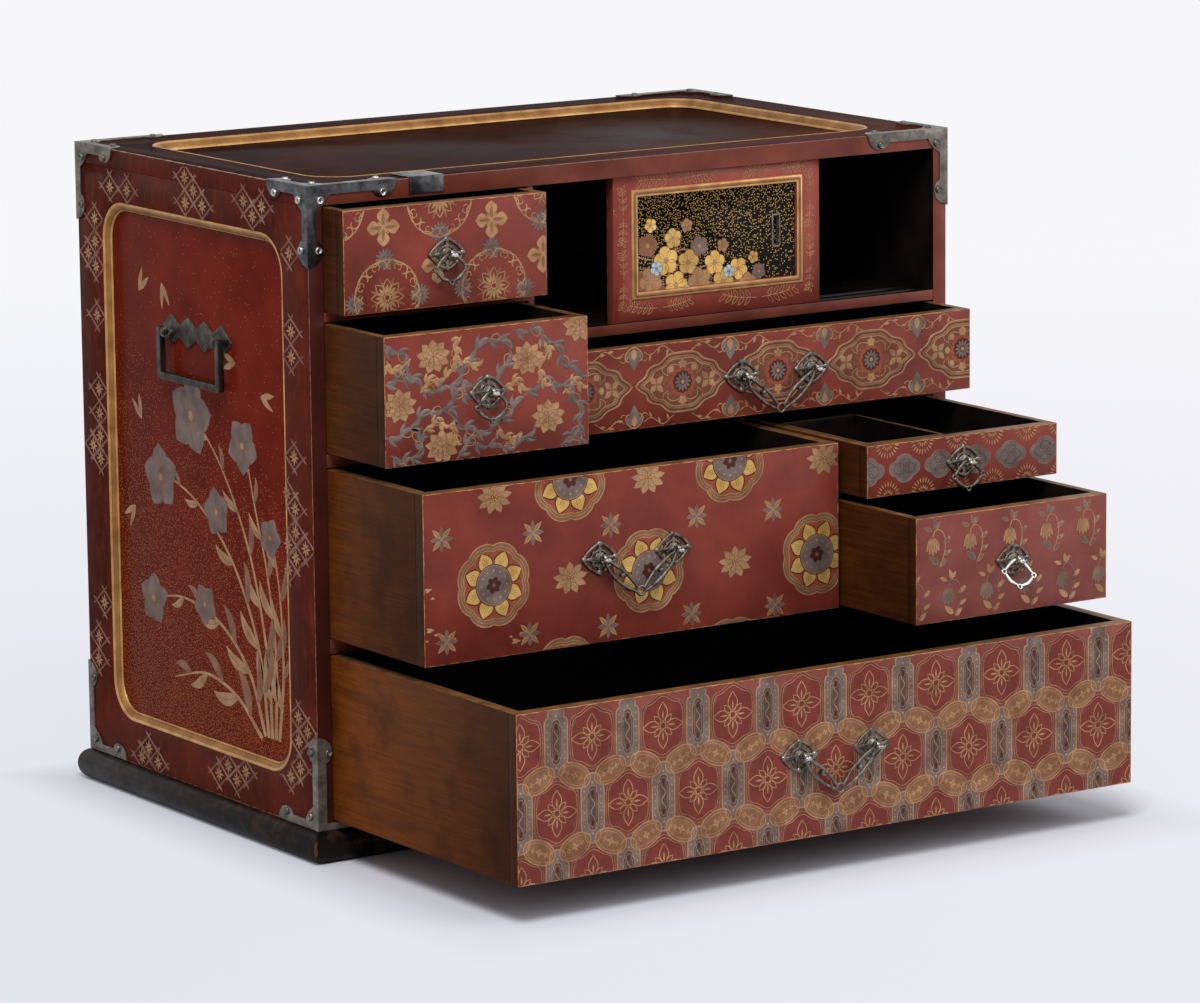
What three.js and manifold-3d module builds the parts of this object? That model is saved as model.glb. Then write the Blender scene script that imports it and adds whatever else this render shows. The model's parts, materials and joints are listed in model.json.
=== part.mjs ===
import * as THREE from 'three';
import { mergeVertices } from 'three/addons/utils/BufferGeometryUtils.js';
import Module from 'manifold-3d';

// Lacquered travel box with seven drawers, a pair of sliding doors and a lift-out tray.
// Millimetres: +X is the viewer's right, +Y the back, +Z up. The origin is the centre of
// the plinth's underside. Lengths are measured from the case's front left bottom corner
// until the last step, which shifts the whole box. The drawers stand pulled out.

const wasm = await Module();
wasm.setup();

// Case
const caseWidth = 452.3;
const caseDepth = 271.6;
const caseHeight = 375;
const sideThickness = 9.5;
const topThickness = 11.2;
const backThickness = 6;
const floorThickness = 5;
const glueLine = 0.1;

// Plinth under the case
const plinthHeight = 18.8;
const plinthBulge = 7;
const plinthArcSteps = 10;

// Bays between the partitions
const leftColumnWidth = 139;
const tallBayWidth = 288.4;
const leftDividerThickness = 4.2;
const rightDividerThickness = 3.2;
const bottomBayHeight = 98.5;
const tallBayHeight = 99.7;
const lowRightBayHeight = 63.9;
const leftMiddleBayHeight = 75.9;
const rightMiddleBayHeight = 50;
const lowerShelfThickness = 9.1;
const middleShelfThickness = 8.4;
const doorShelfThickness = 6.4;
const leftRailThickness = 5.9;
const rightRailThickness = 3.7;

// Sunk panels with their gilt mouldings
const topPanelSink = 5.2;
const sidePanelSink = 4;
const topPanelMargin = 27;
const sidePanelMargin = 29.4;
const sidePanelTopMargin = 31;
const sidePanelBottomMargin = 26;
const panelCornerRadius = 24;
const panelCornerSteps = 8;
const mouldingWidth = 5.6;
const mouldingRise = 0.3;
const mouldingHousing = 0.8;
const mouldingClearance = 0.2;

// Drawers
const drawerSideGap = 0.8;
const drawerRestGap = 0.3;
const drawerHeadGap = 0.8;
const drawerFrontThickness = 8;
const drawerBackGap = 7.6;
const drawerBackThickness = 6;
const drawerBottomThickness = 4;
const stoutWall = 7.5;
const thinWall = 5.5;

// How far each drawer is pulled out
const topLeftPulled = 21.6;
const middleLeftPulled = 63.6;
const middleRightPulled = 38.4;
const tallPulled = 102.1;
const trayPulled = 123.8;
const lowRightPulled = 171.5;
const bottomPulled = 195.8;

// Tray in the shallow drawer
const trayWidth = 57;
const trayLength = 90;
const trayWall = 2.4;
const trayFloor = 2.4;
const trayClearance = 0.4;

// Sliding doors
const doorWidth = 149;
const doorThickness = 7;
const doorTrackSetback = 3.3;
const doorTrackRidge = 4;
const doorTrackDepth = 1.8;
const doorHeadGroove = 3;
const doorSideClearance = 0.2;
const doorFootClearance = 0.3;
const doorHeadClearance = 0.8;
const frontDoorLeft = 210.8;
const rearDoorLeft = 218.1;
const doorStileWidth = 12.7;
const doorTopRailWidth = 10.8;
const doorBottomRailWidth = 14.3;
const doorBeadWidth = 4.3;
const doorBeadRise = 0.8;
const doorPanelSink = 1.6;
const doorPullWidth = 4;
const doorPullHeight = 18;
const doorPullInset = 14;
const doorPullDepth = 2;

// Corner mounts and strike plate of thin sheet
const mountThickness = 0.8;
const mountBand = 5;
const mountLobe = 9.2;
const mountTip = 9;
const mountNeck = 16;
const mountCornerLobe = 11;
const mountAlongFront = 59.5;
const mountAlongSide = 44.6;
const topMountDrop = 46.5;
const bottomMountRise = 56;
const footMountLength = 30;
const footMountBand = 4.4;
const mountPlinthClearance = 0.3;
const nailRadius = 1.7;
const nailHeight = 0.9;
const strikeLeft = 68;
const strikeWidth = 23;
const strikeDrop = 9.3;
const strikeDepth = 20;

// Drawer pulls
const plateHalfWidth = 12.6;
const plateHalfHeight = 10.2;
const plateTip = 2.3;
const plateThickness = 1.2;
const plateRim = 1.6;
const plateSlot = 1.7;
const eyeReach = 5.2;
const eyeRadius = 2.9;
const eyeHole = 1.6;
const eyeThickness = 2.2;
const postRadius = 1.5;
const ballRadius = 1.7;
const bailBar = 1.7;
const bailThickness = 1.6;
const ringHalfWidth = 10.4;
const ringDrop = 16;
const ringSide = 2.8;
const ringEyelet = 1.9;
const widePullSpan = 50.8;
const wideBailDrop = 21;
const wideBailLeg = 5.4;
const wideBailRing = 3.5;
const wideBailRingHole = 1.7;
const swungRingAngle = 24;
const swungRingTilt = 13;

// Carrying handles on the two sides
const handleAxisHeight = 272.3;
const handlePlateRise = 1.3;
const handlePlateThickness = 1.5;
const zigzagPitch = 19.5;
const zigzagPoint = 9.1;
const zigzagValley = 3;
const zigzagEnd = 12.2;
const zigzagPoints = 4;
const handleEyeSpan = 58.4;
const handleEyeReach = 5.6;
const handleEyeRadius = 3.2;
const handleEyeHole = 1.9;
const handleEyeThickness = 2.6;
const handleBailWidth = 73.4;
const handleBailDrop = 28.2;
const handleBailRise = 3;
const handleBar = 4.4;
const handleBarThickness = 4;
const handlePin = 2;
const handleBailCorner = 2.5;

// Levels of the boards above the case's underside
const underTop = caseHeight - topThickness;
const lowerShelfBottom = floorThickness + bottomBayHeight;
const lowerShelfTop = lowerShelfBottom + lowerShelfThickness;
const rightRailBottom = lowerShelfTop + lowRightBayHeight;
const rightRailTop = rightRailBottom + rightRailThickness;
const middleShelfBottom = lowerShelfTop + tallBayHeight;
const middleShelfTop = middleShelfBottom + middleShelfThickness;
const leftRailBottom = middleShelfTop + leftMiddleBayHeight;
const leftRailTop = leftRailBottom + leftRailThickness;
const doorShelfBottom = middleShelfTop + rightMiddleBayHeight;
const doorShelfTop = doorShelfBottom + doorShelfThickness;

// Places across the case and from front to back
const insideLeft = sideThickness;
const insideRight = caseWidth - sideThickness;
const leftDividerLeft = insideLeft + leftColumnWidth;
const leftDividerRight = leftDividerLeft + leftDividerThickness;
const rightDividerLeft = insideLeft + tallBayWidth;
const rightDividerRight = rightDividerLeft + rightDividerThickness;
const insideBack = caseDepth - backThickness;

const redLacquer = { color: 0x6e2a20, roughness: 0.32, metalness: 0 };
const bengaraLacquer = { color: 0x8a3f33, roughness: 0.42, metalness: 0 };
const darkLacquer = { color: 0x43282a, roughness: 0.28, metalness: 0 };
const blackLacquer = { color: 0x1b1716, roughness: 0.3, metalness: 0 };
const stainedWood = { color: 0x6b3d1c, roughness: 0.55, metalness: 0 };
const gilt = { color: 0xb98f4e, roughness: 0.38, metalness: 0.7 };
const silverMount = { color: 0x8a8580, roughness: 0.42, metalness: 0.85 };
const darkIron = { color: 0x4a4643, roughness: 0.45, metalness: 0.8 };

const box = new THREE.Group();

function add(parent, name, geometry, finish) {
  const mesh = new THREE.Mesh(geometry, new THREE.MeshStandardMaterial(finish));
  mesh.name = name;
  parent.add(mesh);
  return mesh;
}

function solid(geometry) {
  const bare = geometry.index ? geometry.clone() : geometry;
  bare.deleteAttribute('normal');
  bare.deleteAttribute('uv');
  const merged = mergeVertices(bare, 1e-4);
  const vertProperties = new Float32Array(merged.attributes.position.array);
  const triVerts = new Uint32Array(merged.index.array);
  return new wasm.Manifold(new wasm.Mesh({ numProp: 3, vertProperties, triVerts }));
}

function geometryOf(body) {
  const mesh = body.getMesh();
  const geometry = new THREE.BufferGeometry();
  geometry.setAttribute('position', new THREE.Float32BufferAttribute(mesh.vertProperties, 3));
  geometry.setIndex(Array.from(mesh.triVerts));
  return geometry;
}

function joined(...geometries) {
  return geometryOf(geometries.map(solid).reduce((all, next) => all.add(next)));
}

function cut(geometry, ...tools) {
  return geometryOf(tools.map(solid).reduce((left, tool) => left.subtract(tool), solid(geometry)));
}

function crossed(first, second) {
  return geometryOf(solid(first).intersect(solid(second)));
}

function block(x0, x1, y0, y1, z0, z1) {
  const geometry = new THREE.BoxGeometry(x1 - x0, y1 - y0, z1 - z0);
  return geometry.translate((x0 + x1) / 2, (y0 + y1) / 2, (z0 + z1) / 2);
}

function sheet(shape, thickness, curveSegments = 4) {
  return new THREE.ExtrudeGeometry(shape, { depth: thickness, bevelEnabled: false, curveSegments });
}

// Turns a geometry so that its x and y run along two given directions from an origin.
function laid(geometry, xAxis, yAxis, origin) {
  const x = new THREE.Vector3(...xAxis);
  const y = new THREE.Vector3(...yAxis);
  const z = new THREE.Vector3().crossVectors(x, y);
  const placing = new THREE.Matrix4().makeBasis(x, y, z).setPosition(...origin);
  return geometry.applyMatrix4(placing);
}

// Mirrors by signs along the axes, and keeps the faces pointing out.
function mirrored(geometry, sx, sy, sz) {
  const copy = geometry.clone().scale(sx, sy, sz);
  if (sx * sy * sz < 0) {
    const index = copy.index.array;
    for (let i = 0; i < index.length; i += 3) {
      [index[i], index[i + 1]] = [index[i + 1], index[i]];
    }
  }
  return copy;
}

function polygon(points) {
  return new THREE.Shape(points.map(([x, y]) => new THREE.Vector2(x, y)));
}

function disc(radius) {
  const shape = new THREE.Shape();
  shape.absarc(0, 0, radius, 0, 2 * Math.PI, false);
  return shape;
}

function annulus(radius, hole) {
  const shape = disc(radius);
  shape.holes.push(disc(hole));
  return shape;
}

function roundedRectangle(width, height, radius) {
  const x = width / 2 - radius;
  const y = height / 2 - radius;
  const shape = new THREE.Shape();
  shape.absarc(x, y, radius, 0, Math.PI / 2, false);
  shape.absarc(-x, y, radius, Math.PI / 2, Math.PI, false);
  shape.absarc(-x, -y, radius, Math.PI, 1.5 * Math.PI, false);
  shape.absarc(x, -y, radius, 1.5 * Math.PI, 2 * Math.PI, false);
  return shape;
}

// A moulding round a rectangle with round corners. Each profile point is the distance in
// from the rectangle's outline and the height above its plane.
function mouldingRing(width, height, radius, profile) {
  const stations = [];
  for (let corner = 0; corner < 4; corner += 1) {
    const start = (corner * Math.PI) / 2;
    const sx = corner === 0 || corner === 3 ? 1 : -1;
    const sy = corner < 2 ? 1 : -1;
    for (let step = 0; step <= panelCornerSteps; step += 1) {
      const angle = start + (step / panelCornerSteps) * (Math.PI / 2);
      stations.push([sx * (width / 2 - radius), sy * (height / 2 - radius), angle]);
    }
  }
  const positions = [];
  const index = [];
  const sides = profile.length;
  stations.forEach(([cx, cy, angle], i) => {
    const next = (i + 1) % stations.length;
    profile.forEach(([inward, rise], j) => {
      const reach = radius - inward;
      positions.push(cx + reach * Math.cos(angle), cy + reach * Math.sin(angle), rise);
      const after = (j + 1) % sides;
      const corners = [i * sides + j, next * sides + j, next * sides + after, i * sides + after];
      index.push(corners[0], corners[1], corners[2], corners[0], corners[2], corners[3]);
    });
  });
  const geometry = new THREE.BufferGeometry();
  geometry.setAttribute('position', new THREE.Float32BufferAttribute(positions, 3));
  geometry.setIndex(index);
  return geometry;
}

// Quarter-round bead that falls from the rim of a sunk panel to the panel. Its foot is let
// into a groove round the panel.
function panelMoulding(width, height, sink) {
  const top = sink + mouldingRise;
  const foot = glueLine - mouldingHousing;
  return mouldingRing(width, height, panelCornerRadius, [
    [mouldingClearance, foot],
    [mouldingClearance, sink],
    [mouldingWidth * 0.2, top],
    [mouldingWidth * 0.5, top * 0.9],
    [mouldingWidth * 0.8, top * 0.6],
    [mouldingWidth, 0],
    [mouldingWidth, foot],
  ]);
}

// Cut for a sunk panel with the groove round it. The panel's face is the plane z = 0.
function panelRecess(width, height, sink) {
  const grooveWidth = mouldingWidth + mouldingClearance;
  const groove = roundedRectangle(width, height, panelCornerRadius);
  groove.holes.push(roundedRectangle(
    width - 2 * grooveWidth, height - 2 * grooveWidth, panelCornerRadius - grooveWidth,
  ));
  const grooveCut = sheet(groove, mouldingHousing + sink, panelCornerSteps);
  const panelCut = sheet(
    roundedRectangle(width, height, panelCornerRadius), 2 * sink, panelCornerSteps,
  );
  return joined(panelCut, grooveCut.translate(0, 0, -mouldingHousing));
}

// Base: a bullnose plinth with mitred corners, and the case's floor glued on it.
function bullnose(length, run) {
  const half = plinthHeight / 2;
  const shape = new THREE.Shape();
  shape.absellipse(length, 0, plinthBulge, half, -Math.PI / 2, Math.PI / 2, false);
  shape.absellipse(0, 0, plinthBulge, half, Math.PI / 2, 1.5 * Math.PI, false);
  const bar = sheet(shape, run + 4 * plinthBulge, plinthArcSteps);
  return bar.translate(0, -half, -2 * plinthBulge);
}

function makeBase() {
  const alongX = laid(bullnose(caseWidth, caseDepth), [1, 0, 0], [0, 0, 1], [0, caseDepth, 0]);
  const alongY = laid(bullnose(caseDepth, caseWidth), [0, 1, 0], [0, 0, 1], [0, 0, 0]);
  const floorBoard = block(
    insideLeft + glueLine, insideRight - glueLine,
    0, caseDepth,
    -plinthHeight / 2, floorThickness,
  );
  add(box, 'base', joined(crossed(alongX, alongY), floorBoard), blackLacquer);
}

// Sides, top and back
const sideHeight = underTop - 2 * glueLine;
const sidePanelHeight = caseHeight - sidePanelTopMargin - sidePanelBottomMargin;
const sidePanelCentre = sidePanelBottomMargin + sidePanelHeight / 2;
const sidePanelDepth = caseDepth - 2 * sidePanelMargin;
const topPanelWidth = caseWidth - 2 * topPanelMargin;
const topPanelDepth = caseDepth - 2 * topPanelMargin;

function makeSides() {
  const centre = [caseDepth / 2, sidePanelCentre];
  const leftBoard = block(0, sideThickness, 0, caseDepth, glueLine, glueLine + sideHeight);
  const leftRecess = laid(
    panelRecess(sidePanelHeight, sidePanelDepth, sidePanelSink),
    [0, 0, 1], [0, 1, 0], [sidePanelSink, ...centre],
  );
  add(box, 'left_side', cut(leftBoard, leftRecess), redLacquer);
  const leftMoulding = laid(
    panelMoulding(sidePanelHeight, sidePanelDepth, sidePanelSink),
    [0, 0, 1], [0, 1, 0], [sidePanelSink, ...centre],
  );
  add(box, 'left_moulding', leftMoulding, gilt);

  const rightBoard = block(
    insideRight, caseWidth, 0, caseDepth, glueLine, glueLine + sideHeight,
  );
  const rightFloor = caseWidth - sidePanelSink;
  const rightRecess = laid(
    panelRecess(sidePanelDepth, sidePanelHeight, sidePanelSink),
    [0, 1, 0], [0, 0, 1], [rightFloor, ...centre],
  );
  add(box, 'right_side', cut(rightBoard, rightRecess), redLacquer);
  const rightMoulding = laid(
    panelMoulding(sidePanelDepth, sidePanelHeight, sidePanelSink),
    [0, 1, 0], [0, 0, 1], [rightFloor, ...centre],
  );
  add(box, 'right_moulding', rightMoulding, gilt);
}

// Two tracks for the sliding doors, the front one first
const trackWidth = doorThickness + 2 * doorSideClearance;
const trackFronts = [doorTrackSetback, doorTrackSetback + trackWidth + doorTrackRidge];

function trackCuts(z0, z1) {
  return trackFronts.map((front) => block(
    leftDividerRight, insideRight, front, front + trackWidth, z0, z1,
  ));
}

function makeTopAndBack() {
  const board = block(0, caseWidth, 0, caseDepth, underTop, caseHeight);
  const middle = [caseWidth / 2, caseDepth / 2, caseHeight - topPanelSink];
  const recess = panelRecess(topPanelWidth, topPanelDepth, topPanelSink).translate(...middle);
  const grooves = trackCuts(underTop - 1, underTop + doorHeadGroove);
  add(box, 'top_board', cut(board, recess, ...grooves), darkLacquer);
  const moulding = panelMoulding(topPanelWidth, topPanelDepth, topPanelSink);
  add(box, 'top_moulding', moulding.translate(...middle), gilt);
  const back = block(
    insideLeft + glueLine, insideRight - glueLine,
    insideBack, caseDepth,
    floorThickness + glueLine, underTop - glueLine,
  );
  add(box, 'back_panel', back, darkLacquer);
}

// Floors and partitions between the bays
function shelf(left, right, bottom, top) {
  return block(left + glueLine, right - glueLine, 0, insideBack - glueLine, bottom, top);
}

function makePartitions() {
  add(box, 'lower_shelf', shelf(insideLeft, insideRight, lowerShelfBottom, lowerShelfTop), redLacquer);
  add(box, 'middle_shelf', shelf(insideLeft, insideRight, middleShelfBottom, middleShelfTop), redLacquer);
  const doorShelf = shelf(leftDividerRight, insideRight, doorShelfBottom, doorShelfTop);
  const tracks = trackCuts(doorShelfTop - doorTrackDepth, doorShelfTop + 1);
  add(box, 'door_shelf', cut(doorShelf, ...tracks), redLacquer);

  const leftDivider = block(
    leftDividerLeft, leftDividerRight,
    0, insideBack - glueLine,
    middleShelfTop + glueLine, underTop - glueLine,
  );
  const leftRail = shelf(insideLeft, leftDividerRight, leftRailBottom, leftRailTop);
  add(box, 'left_partition', joined(leftDivider, leftRail), redLacquer);

  const rightDivider = block(
    rightDividerLeft, rightDividerRight,
    0, insideBack - glueLine,
    lowerShelfTop + glueLine, middleShelfBottom - glueLine,
  );
  const rightRail = shelf(rightDividerLeft, insideRight, rightRailBottom, rightRailTop);
  add(box, 'right_partition', joined(rightDivider, rightRail), redLacquer);
}

// One leaf of a corner mount. Its arms run from the corner along x and y, and each ends in
// a lobe with a nail and a tip on the edge. edgeX and edgeY are where the arms' outer edges lie.
const leafOverlap = glueLine + mountThickness;

function leafShape(armX, armY, edgeX, edgeY) {
  const shape = new THREE.Shape();
  shape.moveTo(edgeX, edgeY);
  shape.lineTo(armX, edgeY);
  shape.quadraticCurveTo(armX - 2, mountLobe, armX - mountTip, mountLobe);
  shape.quadraticCurveTo(armX - mountNeck + 1, mountLobe, armX - mountNeck, mountBand);
  shape.lineTo(mountCornerLobe + 3, mountBand);
  shape.quadraticCurveTo(mountCornerLobe, mountCornerLobe, mountBand, mountCornerLobe + 3);
  shape.lineTo(mountBand, armY - mountNeck);
  shape.quadraticCurveTo(mountLobe, armY - mountNeck + 1, mountLobe, armY - mountTip);
  shape.quadraticCurveTo(mountLobe, armY - 2, edgeX, armY);
  return shape;
}

function nail(x, y) {
  const head = new THREE.CylinderGeometry(nailRadius / 2, nailRadius, nailHeight + 0.1, 6);
  return head.rotateX(Math.PI / 2).translate(x, y, mountThickness + nailHeight / 2 - 0.05);
}

function leaf(armX, armY, edgeX, edgeY) {
  const nailInset = mountLobe - nailRadius - 1.3;
  const nails = [
    nail(armX - mountTip - 1, nailInset),
    nail(mountCornerLobe - 3.2, mountCornerLobe - 3.2),
    nail(nailInset, armY - mountTip - 1),
  ];
  return joined(sheet(leafShape(armX, armY, edgeX, edgeY), mountThickness, 3), ...nails);
}

// The leaf of a lower mount on the front or the back has a plain narrow foot, clear of the
// bottom drawer and of the back panel.
function footLeaf() {
  const lobe = mountLobe;
  const shape = new THREE.Shape();
  shape.moveTo(-leafOverlap, mountPlinthClearance);
  shape.lineTo(footMountLength, mountPlinthClearance);
  shape.quadraticCurveTo(footMountLength, footMountBand, footMountLength - 5, footMountBand);
  shape.lineTo(mountBand, footMountBand);
  shape.lineTo(mountBand, bottomMountRise - mountNeck);
  shape.quadraticCurveTo(lobe, bottomMountRise - mountNeck + 1, lobe, bottomMountRise - mountTip);
  shape.quadraticCurveTo(lobe, bottomMountRise - 2, -leafOverlap, bottomMountRise);
  const nails = [
    nail(footMountLength - 7, footMountBand / 2),
    nail(lobe - nailRadius - 1.3, bottomMountRise - mountTip - 1),
  ];
  return joined(sheet(shape, mountThickness, 3), ...nails);
}

// Mounts for the front left corners, drawn from that corner of the case
function topMount() {
  const edge = -leafOverlap;
  return joined(
    laid(leaf(topMountDrop, mountAlongFront, edge, edge), [0, 0, -1], [1, 0, 0], [0, -glueLine, 0]),
    laid(leaf(mountAlongSide, topMountDrop, edge, edge), [0, 1, 0], [0, 0, -1], [-glueLine, 0, 0]),
    laid(leaf(mountAlongFront, mountAlongSide, edge, edge), [1, 0, 0], [0, 1, 0], [0, 0, glueLine]),
  );
}

function bottomMount() {
  const foot = mountPlinthClearance;
  const sideLeaf = leaf(bottomMountRise, mountAlongSide, foot, -leafOverlap);
  return joined(
    laid(footLeaf(), [1, 0, 0], [0, 0, 1], [0, -glueLine, 0]),
    laid(sideLeaf, [0, 0, 1], [0, 1, 0], [-glueLine, 0, 0]),
  );
}

function makeMounts() {
  const top = topMount();
  const bottom = bottomMount();
  const corners = [
    ['front_left', 1, 1], ['front_right', -1, 1], ['back_left', 1, -1], ['back_right', -1, -1],
  ];
  for (const [corner, sx, sy] of corners) {
    const x = sx > 0 ? 0 : caseWidth;
    const y = sy > 0 ? 0 : caseDepth;
    const upper = mirrored(top, sx, sy, 1).translate(x, y, caseHeight);
    add(box, `mount_top_${corner}`, upper, sx > 0 ? darkIron : silverMount);
    const lower = mirrored(bottom, sx, sy, 1).translate(x, y, 0);
    add(box, `mount_bottom_${corner}`, lower, silverMount);
  }
}

// Strike plate folded over the top's front edge, for the lock of the front cover
function makeStrikePlate() {
  const outside = glueLine + mountThickness;
  const profile = polygon([
    [-outside, caseHeight - strikeDrop], [-glueLine, caseHeight - strikeDrop],
    [-glueLine, caseHeight + glueLine], [strikeDepth, caseHeight + glueLine],
    [strikeDepth, caseHeight + outside], [-outside, caseHeight + outside],
  ]);
  const plate = laid(sheet(profile, strikeWidth), [0, 1, 0], [0, 0, 1], [strikeLeft, 0, 0]);
  add(box, 'strike_plate', plate, darkIron);
}

// Sliding doors: a frame, a gilt bead and a sunk panel with a finger slot
function makeDoor(name, left, track, slotSide) {
  const bottom = doorShelfTop - doorTrackDepth + doorFootClearance;
  const top = underTop + doorHeadGroove - doorHeadClearance;
  const front = trackFronts[track] + doorSideClearance;
  const beadLeft = left + doorStileWidth;
  const beadRight = left + doorWidth - doorStileWidth;
  const beadBottom = bottom + doorBottomRailWidth;
  const beadTop = top - doorTopRailWidth;
  const slab = block(left, left + doorWidth, front, front + doorThickness, bottom, top);
  const bead = block(
    beadLeft, beadRight, front - doorBeadRise, front + 1, beadBottom, beadTop,
  );
  const panel = block(
    beadLeft + doorBeadWidth, beadRight - doorBeadWidth,
    front - 2 * doorBeadRise, front + doorPanelSink,
    beadBottom + doorBeadWidth, beadTop - doorBeadWidth,
  );
  const slotMiddle = slotSide > 0
    ? beadRight - doorBeadWidth - doorPullInset
    : beadLeft + doorBeadWidth + doorPullInset;
  const slotHeight = (beadBottom + beadTop) / 2;
  const slot = block(
    slotMiddle - doorPullWidth / 2, slotMiddle + doorPullWidth / 2,
    front, front + doorPanelSink + doorPullDepth,
    slotHeight - doorPullHeight / 2, slotHeight + doorPullHeight / 2,
  );
  add(box, name, cut(joined(slab, bead), panel, slot), bengaraLacquer);
}

// Drawer pull: an openwork lozenge plate with a post that ends in an eye and a ball.
// The front of the drawer is the plane y = 0, and the post points along -y.
function quarterTurns(draw) {
  for (const [sx, sy] of [[1, 1], [-1, 1], [-1, -1], [1, -1]]) {
    draw(sx, sy);
  }
}

function pullPlate() {
  const w = plateHalfWidth;
  const h = plateHalfHeight;
  const shape = new THREE.Shape();
  shape.moveTo(w, 0);
  shape.quadraticCurveTo(w, plateTip, w - plateTip, plateTip);
  shape.quadraticCurveTo(w * 0.72, h * 0.8, plateTip, h - plateTip);
  shape.quadraticCurveTo(plateTip, h, 0, h);
  shape.quadraticCurveTo(-plateTip, h, -plateTip, h - plateTip);
  shape.quadraticCurveTo(-w * 0.72, h * 0.8, plateTip - w, plateTip);
  shape.quadraticCurveTo(-w, plateTip, -w, 0);
  shape.quadraticCurveTo(-w, -plateTip, plateTip - w, -plateTip);
  shape.quadraticCurveTo(-w * 0.72, -h * 0.8, -plateTip, plateTip - h);
  shape.quadraticCurveTo(-plateTip, -h, 0, -h);
  shape.quadraticCurveTo(plateTip, -h, plateTip, plateTip - h);
  shape.quadraticCurveTo(w * 0.72, -h * 0.8, w - plateTip, -plateTip);
  shape.quadraticCurveTo(w, -plateTip, w, 0);
  const rimX = w - plateTip - plateRim;
  const rimY = h - plateTip - plateRim;
  quarterTurns((sx, sy) => {
    const slot = new THREE.Path();
    slot.moveTo(sx * rimX, sy * (plateTip - 0.2));
    slot.quadraticCurveTo(sx * w * 0.6, sy * h * 0.62, sx * (plateTip - 0.2), sy * rimY);
    const inner = 0.6 - plateSlot / w;
    slot.quadraticCurveTo(sx * w * inner, sy * h * inner, sx * rimX, sy * (plateTip - 0.2));
    shape.holes.push(slot);
  });
  const plate = laid(sheet(shape, plateThickness, 3), [1, 0, 0], [0, 0, 1], [0, -glueLine, 0]);
  const postLength = eyeReach - eyeRadius + 0.8;
  const post = new THREE.CylinderGeometry(postRadius, postRadius, postLength, 8)
    .translate(0, -glueLine - postLength / 2, 0);
  const ball = new THREE.SphereGeometry(ballRadius, 8, 6)
    .translate(0, -eyeReach - eyeRadius - ballRadius * 0.7, 0);
  const core = joined(plate, post, laidEye(annulus(eyeRadius, 0.3), eyeThickness), ball);
  return cut(core, laidEye(disc(eyeHole), eyeThickness + 1));
}

// An eye round the line along x that the bail turns about
function laidEye(shape, thickness) {
  return laid(sheet(shape, thickness, 5), [0, 1, 0], [0, 0, 1], [-thickness / 2, -eyeReach, 0]);
}

// Small bail: an open lozenge whose top bar goes through the eye, with three eyelets
function ringBail() {
  const bar = bailBar / 2;
  const side = ringDrop / 2;
  const shape = new THREE.Shape();
  shape.moveTo(-eyeThickness, bar);
  shape.lineTo(eyeThickness, bar);
  shape.quadraticCurveTo(ringHalfWidth * 0.75, -side * 0.2, ringHalfWidth, ringEyelet - side);
  shape.quadraticCurveTo(ringHalfWidth + ringEyelet, -side, ringHalfWidth, -side - ringEyelet);
  shape.quadraticCurveTo(ringHalfWidth * 0.7, -side * 1.75, ringEyelet, -ringDrop);
  shape.quadraticCurveTo(0, -ringDrop - 2 * ringEyelet, -ringEyelet, -ringDrop);
  shape.quadraticCurveTo(-ringHalfWidth * 0.7, -side * 1.75, -ringHalfWidth, -side - ringEyelet);
  shape.quadraticCurveTo(-ringHalfWidth - ringEyelet, -side, -ringHalfWidth, ringEyelet - side);
  shape.quadraticCurveTo(-ringHalfWidth * 0.75, -side * 0.2, -eyeThickness, bar);
  const inside = new THREE.Path();
  inside.moveTo(eyeThickness * 0.8, -bar);
  inside.lineTo(-eyeThickness * 0.8, -bar);
  inside.lineTo(ringSide - ringHalfWidth, -side);
  inside.lineTo(0, ringSide * 0.8 - ringDrop);
  inside.lineTo(ringHalfWidth - ringSide, -side);
  shape.holes.push(inside);
  return bailSheet(shape);
}

// Wide bail: two openwork legs that meet in a small ring, with a pin at each upper end
function wideBail() {
  const bar = bailBar / 2;
  const half = widePullSpan / 2;
  const pinEnd = half + eyeThickness / 2 + 1;
  const shoulder = half - eyeThickness / 2 - 0.5;
  const foot = wideBailRing * 0.6;
  const bulge = wideBailLeg / 2;
  const midX = (shoulder + foot) / 2;
  const midY = -(wideBailDrop - foot) / 2;
  const shape = new THREE.Shape();
  shape.moveTo(pinEnd, -bar);
  shape.lineTo(pinEnd, bar);
  shape.lineTo(shoulder - 1, bar);
  shape.quadraticCurveTo(midX - bulge, midY + 1.3 * bulge, foot, foot - wideBailDrop);
  shape.lineTo(foot, -wideBailDrop - foot);
  shape.quadraticCurveTo(midX + 1.4 * bulge, midY - 2 * bulge, shoulder, -bar);
  const slot = new THREE.Path();
  const slotTop = [shoulder - 2.8, -3.4];
  slot.moveTo(...slotTop);
  slot.quadraticCurveTo(midX - 0.35 * bulge, midY + 0.5 * bulge, foot + 2.4, foot + 2 - wideBailDrop);
  slot.quadraticCurveTo(midX + 0.75 * bulge, midY - 1.1 * bulge, ...slotTop);
  shape.holes.push(slot);
  const leg = joined(bailSheet(shape));
  const lowered = bailSheet(disc(wideBailRing)).translate(0, 0, -wideBailDrop);
  const hole = laid(
    sheet(disc(wideBailRingHole), 3 * bailThickness, 3),
    [1, 0, 0], [0, 0, 1], [0, 1.5 * bailThickness, -wideBailDrop],
  );
  return cut(joined(leg, mirrored(leg, -1, 1, 1), lowered), hole);
}

// A flat bail cut from sheet, centred on the plane of its hinge line
function bailSheet(shape) {
  const flat = sheet(shape, bailThickness, 4);
  return laid(flat, [1, 0, 0], [0, 0, 1], [0, bailThickness / 2, 0]);
}

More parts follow.
